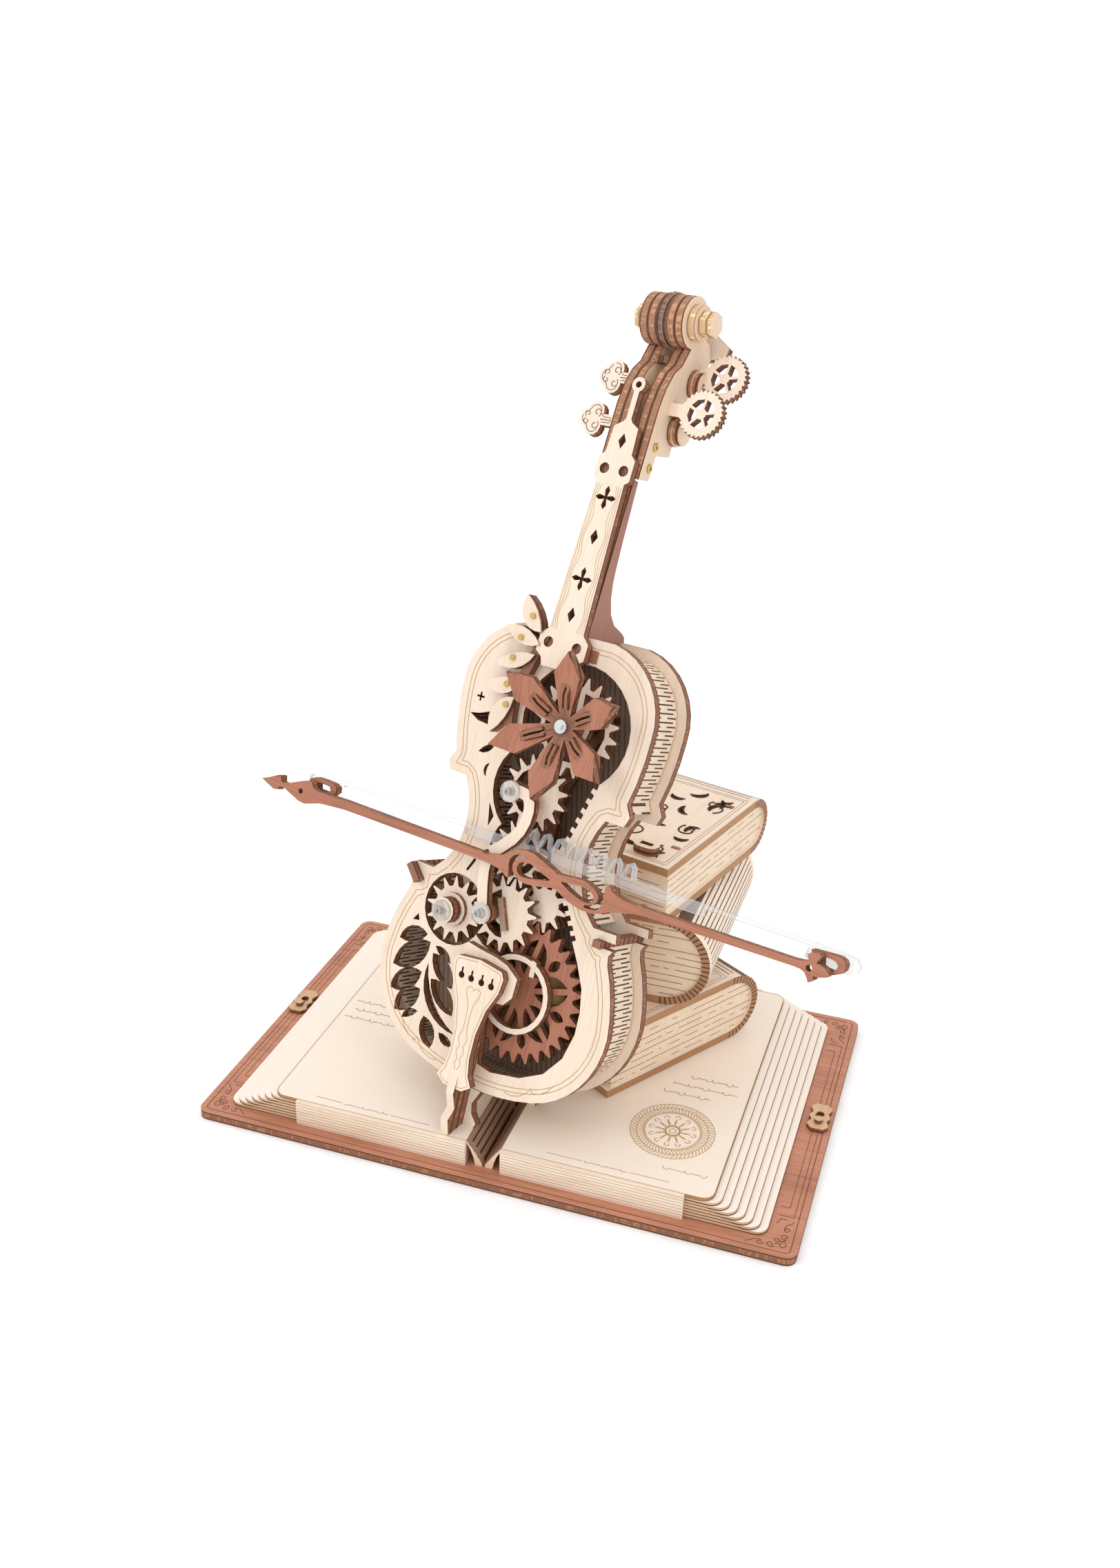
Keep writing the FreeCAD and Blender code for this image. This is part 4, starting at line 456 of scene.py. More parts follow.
# %% Sheets of the neck and the head
cheek_face = 8.5
CHEEK, CHEEK_SHADE = (0.80, 0.62, 0.46), (0.70, 0.51, 0.36)
neck_pale = plywood("pale_ply_neck", neck_frame, PALE, PALE_SHADE)
finger_ply = plywood(
    "pale_ply_fingerboard", neck_frame, PALE, PALE_SHADE,
    marks=pocket_floors, ink=(0.22, 0.052, 0.030),
)
neck_side = plywood(
    "red_ply_neck", side_frame, (0.36, 0.165, 0.115), (0.29, 0.12, 0.08), start=7.0
)
head_pale = plywood(
    "pale_ply_head", side_frame, CHEEK, CHEEK_SHADE,
    start=cheek_face, edge=(0.085, 0.032, 0.016), light=(0.37, 0.18, 0.095),
)
end_ply = plywood(
    "gold_ply_ends", side_frame, CHEEK, CHEEK_SHADE,
    start=cheek_face, edge=(0.36, 0.20, 0.10), light=(0.66, 0.45, 0.26),
)
print("the neck and the head have theirs")

# %% [markdown]
# ## Bent side walls
#
# Thin plywood bends when it is cut through with rows of short slits, so the side walls carry
# a ladder of them: one long slit in the middle, then two that start at the edges. Hundreds
# of real slits would need many faces and would hardly show more. They are drawn along the
# wall instead, by the angle about the middle of each bout, or by height at the waist.

# %% Slit walls
wall_middle = 12.8
slit_pitch, slit_width = 1.45, 0.55
edge_slit, long_slit, glue_band = (2.2, 8.4), 6.4, (8.7, 9.3)
lower_bout, upper_bout = (0.0, 48.0, 47.0), (0.0, 147.0, 36.0)


def bare_wood(shader, fibres):
    """The dull surface of wood without varnish."""
    drive(shader, "Roughness", fibres * 0.1 + 0.55)


def slit_wall(name, bout=None):
    """A bent wall with its ladder of slits, and dark glue lines along both plates."""
    material, shader, (x, y, depth), facing = new_material(name, body_frame)
    along = y
    if bout:
        u, v, radius = bout
        along = (x - u).angle(y - v) * radius
    odd = ((along / slit_pitch).whole() * 0.5).fraction() > 0.25
    middle = abs(depth + wall_middle)
    short = odd * (middle > edge_slit[0]) * (middle < edge_slit[1])
    reach = short + (1.0 - odd) * (middle < long_slit)
    slit = ticks(along, slit_pitch, slit_width) * reach * (abs(facing[2]) < 0.5)
    glued = middle.ramp(*glue_band) * 0.75
    fibres, tone = wood_grain((x, y, depth))
    wood = glued.mix(tone.mix((0.83, 0.67, 0.52), (0.72, 0.55, 0.40)), SCORCH_LIGHT)
    drive(shader, "Base Color", slit.mix(wood, (0.07, 0.035, 0.018)))
    bare_wood(shader, fibres)
    return material


lower_wall = slit_wall("slit_wall_lower", lower_bout)
upper_wall = slit_wall("slit_wall_upper", upper_bout)
waist_wall = slit_wall("slit_wall_waist")
print("a slit every", slit_pitch, "mm")

# %% [markdown]
# ## Pages of the closed books
#
# The pages of a closed book are one block whose sides are engraved with long broken lines,
# so that it reads as a stack of thick sheets. Real grooves that waver and break would be
# slow to model. A pattern of levels can do it: a slow cloud bends the lines, and a second
# one breaks them. The strips along the open book have the same lines, straight and unbroken.

# %% Page blocks
step = 1.25
block_pitch, block_line, block_foot = 2.75, 0.30, page_level + 0.6
strip_line = 0.14


def page_block(name, pitch, foot, line, paper=(0.84, 0.68, 0.52), loose=1.0):
    """A block whose sides carry lines, one over the other; loose ones waver and break."""
    material, shader, (x, y, z), facing = new_material(name, flat_frame)
    waver = noise((x, y, z), (0.12, 0.12, 0.02))
    height = z - foot + (waver - 0.5) * 0.5 * loose
    layer = (height / pitch).whole()
    odd = (layer * 0.5).fraction() > 0.25
    torn = noise((x, y, layer), (0.16, 0.16, 3.7))
    broken = torn > (odd * 0.16 + 0.32) * loose
    lines = ticks(height, pitch, line) * broken * (abs(facing[2]) < 0.5)
    fibres, tone = wood_grain((x, y, z), "x")
    drive(shader, "Base Color", lines.mix(tone.mix(paper, (0.74, 0.56, 0.39)), LINE))
    bare_wood(shader, fibres)
    return material


book_leaves = page_block("book_page_block", block_pitch, block_foot, block_line)
strip_leaves = page_block("page_edge_strip", step, ply, strip_line, (0.89, 0.76, 0.61), 0.0)
print("pages are", block_pitch, "mm thick")

# %% [markdown]
# ## Covers of the closed books
#
# A cover is one board that bends round the spine. There its edge shows a comb of cuts, and
# from outside the cuts run as long slits up the spine. As on the side walls, they are drawn:
# the angle round the spine says which cut a point belongs to. The cut-outs of the upper
# cover are shallow in the CAD model, so their floors get painted shade, dark as a deep cut.

# %% Bent covers
cut_pitch, cut_width, cut_end = 2.1, 0.55, 3.0
bend_start = -1.0
cutout_depth, cutout_slack = 1.6, 1.0


def bent_cover(name, plane, width, height, thick):
    """A bent cover; the comb of cuts lies where it turns round the spine."""
    material, shader, (x, y, z), facing = new_material(name, plane)
    radius = thick / 2.0
    u, v = x - (width - radius), z - radius
    cut = ticks(v.angle(u) * radius, cut_pitch, cut_width) * (u > bend_start)
    # The floors of the cut-outs are painted dark, as painted shade of a deep cut.
    shaded_floor = (abs(z - thick + cutout_depth) < cutout_slack) * (abs(facing[2]) > 0.5)
    side = abs(facing[1]) > 0.5
    slit = cut * (1.0 - side) * (abs(y - height / 2.0) < height / 2.0 - cut_end)
    fibres, tone = wood_grain((x, y, z), "x")
    wood = slit.most(shaded_floor).mix(tone.mix(PALE, PALE_SHADE), (0.10, 0.05, 0.025))
    rim = cut.mix(tone.mix((0.42, 0.22, 0.10), (0.33, 0.16, 0.07)), SCORCH)
    edge = side.most((abs(facing[0]) > 0.5) * (u < bend_start))
    drive(shader, "Base Color", edge.mix(wood, rim))
    bare_wood(shader, fibres)
    roughen(shader, fibres)
    return material


covers = {
    book: bent_cover(book + "_book_board", book_frames[book], *book_sizes[book])
    for book in book_sizes
}
print("covers bent:", len(covers))

# %% [markdown]
# ## The open book
#
# The open book is a stair of page sheets on a red-brown board. Each sheet shows a thin line
# of painted shadow where it lies on the next one, and two brown strips bend down into the
# gutter. The steps are real ones in the CAD model, so their material only has to know the
# height of a sheet. The clasps carry a keyhole, which is drawn as a mark.

# %% Steps and gutter
step_shadow = 0.30
gutter_pitch, gutter_slit, gutter_shift = 1.45, 0.45, 1.0


def stair(name):
    """Pages in steps: pale treads, and a thin line of painted shadow at the foot of every
    riser.
    """
    material, shader, (x, y, z), facing = new_material(name, flat_frame)
    riser = abs(facing[2]) < 0.5
    # The foot of each riser carries a line of painted shadow, where the sheet lies on the next.
    foot = ((z - ply) / step).fraction() < step_shadow
    fibres, tone = wood_grain((x, y, z))
    side = foot.mix((0.66, 0.45, 0.28), (0.13, 0.065, 0.035))
    tread = tone.mix((0.91, 0.82, 0.73), (0.88, 0.785, 0.69))
    drive(shader, "Base Color", riser.mix(tread, side))
    bare_wood(shader, fibres)
    return material


def gutter_wood(name):
    """Two strips that bend down into the gutter: brown, with long slits, pale at the ends."""
    material, shader, (x, y, z), facing = new_material(name, flat_frame)
    bridges = (y * 0.031).fraction() > 0.06
    slit = ticks(x + gutter_shift, gutter_pitch, gutter_slit) * bridges
    fibres, tone = wood_grain((x, y, z))
    wood = slit.mix(tone.mix((0.40, 0.245, 0.155), (0.30, 0.17, 0.10)), (0.07, 0.035, 0.02))
    drive(shader, "Base Color", (abs(facing[1]) > 0.5).mix(wood, (0.80, 0.62, 0.45)))
    bare_wood(shader, fibres)
    return material


page_stair = stair("page_stair")
gutter = gutter_wood("gutter_strip")
print("steps of", step, "mm")

# %% Board, top sheets and clasps
clasp_place = (105.8, 3.8)
hole_square, slot_half, slot_drop, slot_length = 1.1, 0.45, 1.2, 1.3


def keyhole(x, y, z):
    """A round hole with a slot under it, on the clasp of either side."""
    u, v = abs(x) - clasp_place[0], y - clasp_place[1]
    slot = (abs(u) < slot_half) * (abs(v + slot_drop) < slot_length)
    return (u * u + v * v < hole_square).most(slot)


page_top = plywood(
    "page_sheet", flat_frame, (0.90, 0.785, 0.67), (0.87, 0.75, 0.63), "x",
    edge=(0.42, 0.21, 0.09), light=(0.50, 0.27, 0.12),
)
red_board = plywood("red_board", flat_frame, (0.55, 0.235, 0.14), (0.33, 0.12, 0.065), "x")
clasp_wood = plywood(
    "clasp_ply", flat_frame, (0.66, 0.44, 0.25), (0.52, 0.31, 0.16), marks=keyhole
)
loop_wood = plywood("loop_ply", flat_frame, PALE, PALE_SHADE)
print("the open book has its woods")

# %% [markdown]
# ## Scroll, hub and acrylic
#
# The scroll at the top of the cello is a barrel of thin wooden rings, some toasted darker
# than others. The hub of the flower is dark wood with a small metal cap. The caps of the
# wheels and the strip of the bow are clear acrylic. Its cut edges are painted grey and less
# clear, as painted reflection of the edge. Real glass would need many bounces of light, so
# the acrylic is a thin, half see-through surface instead.

# %% Rings of the scroll
ring_pitch = 1.46


def scroll_barrel(name):
    """Rings by depth: each has a tone of its own, and a dark line parts it from the next."""
    material, shader, (x, y, z), facing = new_material(name, side_frame)
    layer = abs(z) / ring_pitch
    dark = layer.fraction() > 0.62
    burn = noise((x, y, z), (0.8, 0.8, 0.3))
    sheet = noise((layer.whole(), x, y), (3.7, 0.0, 0.0), 2.0)
    toast = (sheet.ramp(0.42, 0.58) + burn.ramp(0.3, 0.7) * 0.5).ramp(0.1, 1.3)
    ring = dark.mix(toast.mix((0.38, 0.21, 0.125), (0.10, 0.038, 0.022)), (0.045, 0.018, 0.012))
    flat = abs(facing[2]).ramp(0.7, 0.85)
    drive(shader, "Base Color", flat.mix(ring, (0.62, 0.44, 0.30)))
    drive(shader, "Roughness", burn * 0.2 + 0.5)
    return material


scroll_rings = scroll_barrel("scroll_rings")
print("rings of", ring_pitch, "mm")

# %% Hub and acrylic
cap_level = 8.5


def capped_hub(name):
    """Dark wood below, and a small metal cap from one level on."""
    material, shader, (x, y, z), facing = new_material(name, body_frame)
    metal = z > cap_level
    fibres, tone = wood_grain((x, y, z))
    wood = tone.mix((0.22, 0.09, 0.05), (0.15, 0.06, 0.03))
    drive(shader, "Base Color", metal.mix(wood, (0.66, 0.66, 0.68)))
    drive(shader, "Metallic", metal)
    drive(shader, "Roughness", fibres * 0.1 + 0.3)
    return material


def clear_sheet(name):
    """Clear acrylic: nearly invisible faces, and grey, less clear cut edges as painted
    reflection.
    """
    material, shader, place, facing = new_material(name, body_frame)
    # The cut edges get a painted reflection: grey and less clear than the faces.
    edge = 1.0 - abs(facing[2]).ramp(0.6, 0.9)
    cloud = noise(place, (0.3, 0.3, 0.3), 2.0)
    drive(shader, "Base Color", edge.mix((0.86, 0.87, 0.88), (0.56, 0.57, 0.58)))
    drive(shader, "Roughness", cloud * 0.1 + 0.05)
    drive(shader, "Alpha", edge * 0.45 + 0.22)
    drive(shader, "Coat Weight", 0.5)
    return material


hub_metal = capped_hub("hub_wood_and_cap")
acrylic = clear_sheet("clear_acrylic")
print("hub and acrylic are ready")

# %% [markdown]
# ## Metal and burnt lines
#
# Brass, steel and the burnt lines have no pattern that the eye could name, only a slow
# change of tone. One function makes them all from a colour and a roughness, and a soft cloud
# in both keeps them from looking like plastic.

# %% Plain finishes
def plain_finish(name, color, roughness, metallic=0.0):
    """One colour and one roughness, both a little cloudy."""
    material, shader, place, facing = new_material(name, flat_frame)
    cloud = noise(place, (0.09, 0.09, 0.09))
    deeper = tuple(share * 0.95 for share in color)
    drive(shader, "Base Color", cloud.ramp(0.35, 0.7).mix(color, deeper))
    drive(shader, "Roughness", cloud * 0.1 + roughness)
    drive(shader, "Metallic", metallic)
    return material


brass = plain_finish("brass", (0.62, 0.42, 0.13), 0.25, 1.0)
brass_dull = plain_finish("brass_dull", (0.34, 0.22, 0.10), 0.42, 0.8)
steel = plain_finish("steel", (0.46, 0.45, 0.44), 0.30, 1.0)
burnt_line = plain_finish("burnt_line", (0.30, 0.17, 0.085), 0.7)
gold_line = plain_finish("golden_line", (0.52, 0.33, 0.14), 0.7)
dark_line = plain_finish("dark_line", (0.085, 0.035, 0.016), 0.7)
red_line = plain_finish("burnt_line_on_red", (0.13, 0.045, 0.022), 0.7)
# The darkest line: painted shadow under the page sheets, and the burnt cut-out rims and curls
# of the upper cover.
shadow_and_burnt_line = plain_finish("dark_shadow_and_burnt_line", (0.075, 0.038, 0.020), 0.7)
page_rim = plain_finish("scorched_page_rim", (0.40, 0.20, 0.08), 0.7)
tenon_wood = plain_finish("tenon_wood", (0.36, 0.15, 0.08), 0.6)
print("metals and lines are ready")

# %% [markdown]
# ## Floor
#
# The object stands on a white ground, wider than the picture. A white plane alone comes out
# a little grey, so it also glows very faintly.

# %% Floor
floor_size, floor_level, floor_glow = 12.0, -0.0002, 0.06
white_floor = plain_finish("white_floor", (0.97, 0.97, 0.97), 0.7)
floor_shader = white_floor.node_tree.nodes["Principled BSDF"]
drive(floor_shader, "Emission Color", (1.0, 1.0, 1.0))
drive(floor_shader, "Emission Strength", floor_glow)
bpy.ops.object.select_all(action="DESELECT")
bpy.ops.mesh.primitive_plane_add(size=floor_size, location=(0, 0, floor_level))
floor = bpy.context.object
floor.name = "floor"
floor.data.materials.append(white_floor)
print("the floor lies under the board")

# %% [markdown]
# ## Who wears what
#
# Each piece of the CAD model now gets its material. Most pieces of the cello are pale sheets
# that lie in the plane of its body, so that wood is the rule, and the lists below only name
# the exceptions.

# %% What the books wear
wear = {
    "cover_board": red_board,
    "left_page_stack": page_stair,
    "right_page_stack": page_stair,
    "page_sheets": page_top,
    "page_edge_strips": strip_leaves,
    "gutter_strips": gutter,
    "cover_clasps": clasp_wood,
    "upper_book_loop": loop_wood,
    "prop_wedge": loop_wood,
}
for book, cover in covers.items():
    wear[book + "_book_cover"] = cover
    wear[book + "_book_pages"] = book_leaves
print("pieces of the books:", len(wear))

# %% What the cello wears
worn_by = (
    (body_back, ("back_plate",)),
    (body_crank, ("lower_crank_gear", "upper_crank_gear")),
    (body_dark, ("gear_bridge", "bridge_posts", "lock_tabs", "sprig_stem")),
    (body_petal, ("flower_petals",)),
    (body_rosette, ("rosette_gear",)),
    (body_bow, ("bow_stick",)),
    (lower_wall, ("lower_rib",)),
    (upper_wall, ("upper_rib",)),
    (waist_wall, ("waist_ribs",)),
    (finger_ply, ("fingerboard",)),
    (neck_pale, ("scroll_back_plate", "peg_wheels", "peg_heads")),
    (neck_side, ("neck_side_plates", "neck_core")),
    (head_pale, ("head_plates", "peg_bosses")),
    (end_ply, ("scroll_ends",)),
    (scroll_rings, ("scroll_discs",)),
    (acrylic, ("bow_hair", "upper_crank_cap", "lower_crank_cap", "side_gear_cap")),
    (hub_metal, ("flower_hub",)),
    (brass, ("sprig_rivets", "pinned_cylinder", "winding_key")),
    (brass_dull, ("spring_barrel", "movement_frame")),
    (steel, ("tuned_comb", "governor")),
)
for material, names in worn_by:
    wear.update(dict.fromkeys(names, material))
for name, piece in nodes.items():
    piece.data.materials.clear()
    piece.data.materials.append(wear.get(name, body_pale))
print("dressed", len(nodes), "pieces,", len(nodes) - len(wear), "of them in the pale wood")

# %% [markdown]
# ## Engraved lines
#
# A laser on low power burns a fine brown line into the wood without cutting it. The line
# could be cut as a groove, but it has hardly any depth. A thin wire, half sunk into the
# face, shows the same line from every side and needs few faces.

# %% Wires along lines
def stroke(name, runs, plane, height, material, width=0.28):
    """Thin wires along runs of points of a plane, as one mesh."""
    curve = bpy.data.curves.new(name, "CURVE")
    curve.dimensions = "3D"
    curve.bevel_depth = width / 2 * MM
    curve.bevel_resolution = 0
    for run in runs:
        line = curve.splines.new("POLY")
        line.points.add(len(run) - 1)
        for point, (x, y) in zip(line.points, run):
            point.co = (*(plane @ (Vector((x, y, height)) * MM)), 1.0)
    drawn = bpy.data.objects.new(name, curve)
    bpy.context.scene.collection.objects.link(drawn)
    bpy.ops.object.select_all(action="DESELECT")
    drawn.select_set(True)
    bpy.context.view_layer.objects.active = drawn
    bpy.ops.object.convert(target="MESH")
    drawn = bpy.context.object
    drawn.data.materials.clear()
    drawn.data.materials.append(material)
    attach(drawn, "music_box")


def arc(u, v, radius, start=0.0, end=360.0, end_radius=None):
    """Points of a circle, or of a spiral when the radius changes on the way."""
    count = max(6, int(abs(end - start) / 15))
    last = radius if end_radius is None else end_radius
    points = []
    for i in range(count + 1):
        share = i / count
        angle = math.radians(start + (end - start) * share)
        here = radius + (last - radius) * share
        points.append((u + here * math.cos(angle), v + here * math.sin(angle)))
    return points


print("a whole circle has", len(arc(0, 0, 1)), "points")

# %% [markdown]
# ## Lines that follow an outline
#
# Many engraved lines run beside the rim of their plate, at one distance from it. Points
# could be typed for them, but they would be wrong as soon as the plate changed. So the
# outline is read from the face of the CAD piece itself, and each point of the line is set
# off from it. Points that come too near another edge are left out.

# %% Read the outlines of a face
face_match = 0.05


def face_loops(node, plane, height):
    """Outlines of one flat face of a CAD piece, with the wood on the left of each line."""
    mesh = nodes[node].data
    inverse = plane.inverted()
    sides = set()
    for face in mesh.polygons:
        points = [inverse @ mesh.vertices[i].co * 1000 for i in face.vertices]
        if max(abs(p.z - height) for p in points) < face_match:
            keys = [(round(p.x, 2), round(p.y, 2)) for p in points]
            sides.update(zip(keys, keys[1:] + keys[:1]))
    following = {a: b for a, b in sides if (b, a) not in sides}
    loops = []
    while following:
        here, goal = following.popitem()
        loop = [here]
        while goal in following:
            loop.append(goal)
            goal = following.pop(goal)
        loops.append(loop)
    return sorted(loops, key=lambda loop: -len(loop) * max(x for x, y in loop))


def outermost(loops):
    """The one outline that reaches farthest along x."""
    return [max(loops, key=lambda loop: max(x for x, y in loop))]


def closed(loops):
    """The same outlines, each back at its first point."""
    return [loop + loop[:1] for loop in loops]


print("the front plate has", len(face_loops("front_plate", body_frame, 0.0)), "outlines")

# %% Set lines off from outlines
def inset_lines(loops, outlines, distance, clear=1.0, spacing=0.8):
    """Lines inside a face at one distance from some of its outlines, and clear of the rest."""
    ends = [(a, b) for loop in loops for a, b in zip(loop, loop[1:] + loop[:1])]
    first = np.array([a for a, b in ends])
    along = np.array([b for a, b in ends]) - first
    rooms = [distance * 0.985 if loop in outlines else clear for loop in loops]
    room = np.repeat(rooms, [len(loop) for loop in loops])
    length = (along**2).sum(1) + 1e-12
    runs = []
    for loop in outlines:
        run = []
        for a, b in zip(loop, loop[1:] + loop[:1]):
            a, b = np.array(a), np.array(b)
            size = np.linalg.norm(b - a) + 1e-9
            left = np.array((a[1] - b[1], b[0] - a[0])) / size * distance
            for share in np.arange(0, 1, spacing / max(size, spacing)):
                point = a + (b - a) * share + left
                near = np.clip(((point - first) * along).sum(1) / length, 0, 1)
                gap = np.linalg.norm(first + along * near[:, None] - point, axis=1)
                if (gap < room).any():
                    continue
                if run and np.linalg.norm(point - run[-1]) > distance * 1.7 + spacing:
                    runs.append(run)
                    run = []
                run.append(point)
        runs.append(run)
    return [run for run in runs if len(run) > 2]


def mirrored(line):
    """The same line on the other side of the middle."""
    return [(-x, y) for x, y in line]


print("lines can be set off from an outline")

# %% [markdown]
# ## Lines on the front of the cello
#
# Two fine lines follow the rim of the front plate, and a curved brace crosses each side of
# its foot. The tailpiece has one line inside its rim and a slim twisted figure in the middle.
# The brace and the figure are drawn for one side and mirrored, as a maker does with a
# folded pattern.

# %% Lines on the front plate
rim_lines = (3.0, 4.6)
brace = [
    (15.5, 17.6), (18.5, 17.4), (21.6, 18.4), (24.2, 20.4), (25.6, 22.8),
    (26.6, 21.4), (29.6, 22.2), (32.4, 24.4), (34.2, 27.2),
]
plate_loops = face_loops("front_plate", body_frame, 0.0)
plate_lines = []
for distance in rim_lines:
    plate_lines += inset_lines(plate_loops, outermost(plate_loops), distance)
plate_lines += [brace, mirrored(brace)]
stroke("front_plate_lines", plate_lines, body_frame, 0.0, gold_line)
print("lines on the front plate:", len(plate_lines))

# %% Lines on the tailpiece
tail_face, tail_rim, tail_clear = 9.6, 0.9, 0.5
fan_level, fan_radius = 50.3, 1.5
twist = [
    (3.0, 50.6), (2.6, 48.6), (1.4, 46.6), (0.9, 44.0), (0.7, 40.0), (0.9, 36.0), (1.8, 33.4),
    (1.5, 31.8), (0.7, 30.4), (1.6, 28.6), (1.3, 27.0), (0.6, 25.6), (1.3, 23.8), (0.4, 21.6),
]
fan = arc(-fan_radius, fan_level, fan_radius, 170, 20)
fan += arc(fan_radius, fan_level, fan_radius, 160, 10)
tail_loops = face_loops("tailpiece", body_frame, tail_face)
tail_lines = [twist, mirrored(twist), fan]
tail_lines += inset_lines(tail_loops, outermost(tail_loops), tail_rim, tail_clear)
stroke("tailpiece_lines", tail_lines, body_frame, tail_face, gold_line, width=0.24)
print("lines on the tailpiece:", len(tail_lines))

# %% [markdown]
# ## Lines on the fingerboard and the pegs
#
# Three wavy lines run down each side of the fingerboard, the inner ones with a wider swing,
# like the grain round a knot. They follow a formula, a cosine beside a tapering edge, so
# they need no table. The trefoil pegs have one line inside their rim and a few curls, which
# are arcs whose radius shrinks on the way.

# %% Waves on the fingerboard
board_start, board_half, board_taper = 4.8, 7.1, 0.029
wave_start, wave_points, wave_length, wave_rest = 5.0, 52, 13.6, 10.7
wave_margin, wave_gap, least_swing, more_swing = 0.6, 0.65, 0.25, 0.45
board_waves = []
for side in (-1, 1):
    for row in range(3):
        wave = []
        for i in range(wave_points):
            y = wave_start + i
            half = board_half - (y - board_start) * board_taper
            swing = 0.5 - 0.5 * math.cos((y - wave_rest) * 2 * math.pi / wave_length)
            inward = wave_margin + row * wave_gap + swing * (least_swing + row * more_swing)
            wave.append((side * (half - inward), y))
        board_waves.append(wave)
stroke("fingerboard_lines", board_waves, neck_frame, 0.0, gold_line, width=0.2)
print("waves on the fingerboard:", len(board_waves))

# %% Rims and curls of the pegs
peg_faces = (-7.02, -4.02)
peg_middles = ((-15.6, 94.3), (-16.6, 78.4))
peg_rim, peg_clear = 1.0, 0.6
for height in peg_faces:
    loops = face_loops("peg_heads", neck_frame, height)
    lines = inset_lines(loops, loops, peg_rim, peg_clear)
    stroke("peg_lines_%d" % -height, lines, neck_frame, height, dark_line, width=0.26)
for index, (u, v) in enumerate(peg_middles):
    scrolls = [
        arc(u + 1.2, v + 2.2, 1.6, -60, 300, 0.5),
        arc(u + 1.2, v - 2.2, 1.6, 60, -300, 0.5),
        arc(u - 2.4, v + 1.3, 1.2, 240, -90, 0.4),
        arc(u - 2.4, v - 1.3, 1.2, 120, 450, 0.4),
        [(u + 3.0, v), (u + 6.6, v)],
    ]
    name = "peg_scrolls_%d" % index
    stroke(name, scrolls, neck_frame, peg_faces[index], dark_line, width=0.30)
    print("peg", index, "has", len(scrolls), "curls and lines")

# %% [markdown]
# ## Ornament of the cover board
#
# The board has a border line, a stepped frame on each side of the pages and a scroll of
# tendrils in every corner. Four corners could be drawn four times. One corner is enough:
# its points are distances from the corner of the board, and two signs turn them into all
# four.

# %% Lines on the board
board_reach, board_depth = 111.5, 72.5
border_inset, frame_foot = 2.4, 102.2
tendrils = [
    arc(5.6, 5.8, 2.0, 20, 400, 0.5),
    arc(9.4, 5.2, 1.5, 200, 600, 0.4),
    arc(13.0, 5.0, 1.2, 180, 520, 0.4),
    arc(5.2, 9.8, 1.5, 250, 640, 0.4),
    arc(5.0, 13.4, 1.2, 270, 620, 0.4),
    arc(8.2, 9.0, 3.2, 180, 270),
    [(3.6, 18.0), (4.4, 16.6), (5.4, 16.0), (6.2, 14.4), (6.0, 12.6)],
    [(18.0, 3.8), (16.6, 4.4), (15.6, 5.4), (14.2, 6.2), (12.6, 6.0)],
    arc(7.6, 7.6, 0.8),
]
board_loops = face_loops("cover_board", flat_frame, ply)
board_lines = inset_lines(board_loops, board_loops, border_inset)
for side in (-1, 1):
    for reach, end in ((107.4, 52.5), (105.2, 48.0)):
        rail = ((frame_foot, -end), (reach, -end), (reach, end), (frame_foot, end))
        board_lines.append([(side * x, y) for x, y in rail])
    for end in (-1, 1):
        corner = ((frame_foot, 57.0), (103.2, 54.2), (105.4, 54.2))
        board_lines.append([(side * x, end * y) for x, y in corner])
for right in (-1, 1):
    for back in (-1, 1):
        for line in tendrils:
            corner = [(right * (board_reach - u), back * (board_depth - v)) for u, v in line]
            board_lines.append(corner)
stroke("board_lines", board_lines, flat_frame, ply, red_line)
print("lines on the board:", len(board_lines))

# %% [markdown]
# ## Ornament of the pages
#
# The pages carry ruled lines at the foot, a few rows of wavy tendrils, and one round rosette
# with rings, rays and small leaves. A row of tendrils is one sine wave whose height swells
# and fades. The rosette is made of arcs by a loop over the angle, so every ray is alike.

# %% Rules at the foot of the pages
tendril_wave, swell_wave, points_per_mm = 2.4, 0.9, 3


def tendril_row(left, right, y, height):
    """A wavy line that swells and fades."""
    row = []
    for i in range(int((right - left) * points_per_mm)):
        x = left + i / points_per_mm
        swell = 0.5 + 0.5 * math.sin(x * swell_wave + y)
        lean = 0.5 * math.cos(x * tendril_wave)
        row.append((x + lean, y + height * swell * math.sin(x * tendril_wave)))
    return row


ruled = [
    [(-68.0, -61.2), (-57.0, -61.4)],
    tendril_row(-56.0, -39.0, -61.6, 0.5),
    [(-38.0, -61.8), (-23.0, -62.0)],
    [(21.0, -61.2), (34.0, -61.2)],
    tendril_row(35.0, 50.0, -61.2, 0.5),
    [(51.0, -61.2), (65.0, -61.2)],
    tendril_row(61.0, 77.0, -54.4, 0.8),
]
stroke("page_rules", ruled, flat_frame, page_level, burnt_line, width=0.22)
print("rules on the pages:", len(ruled))

# %% Tendrils and rosette
rosette_place = (59.3, -34.5)
rosette_rings = (15.2, 13.0, 10.6, 10.0, 2.4, 1.2)
ray_step, ray_lean, leaf_step = 6, 5, 30


def on_ring(radius, degrees):
    """A point of a ring of the rosette."""
    angle = math.radians(degrees)
    u, v = rosette_place
    return u + radius * math.cos(angle), v + radius * math.sin(angle)


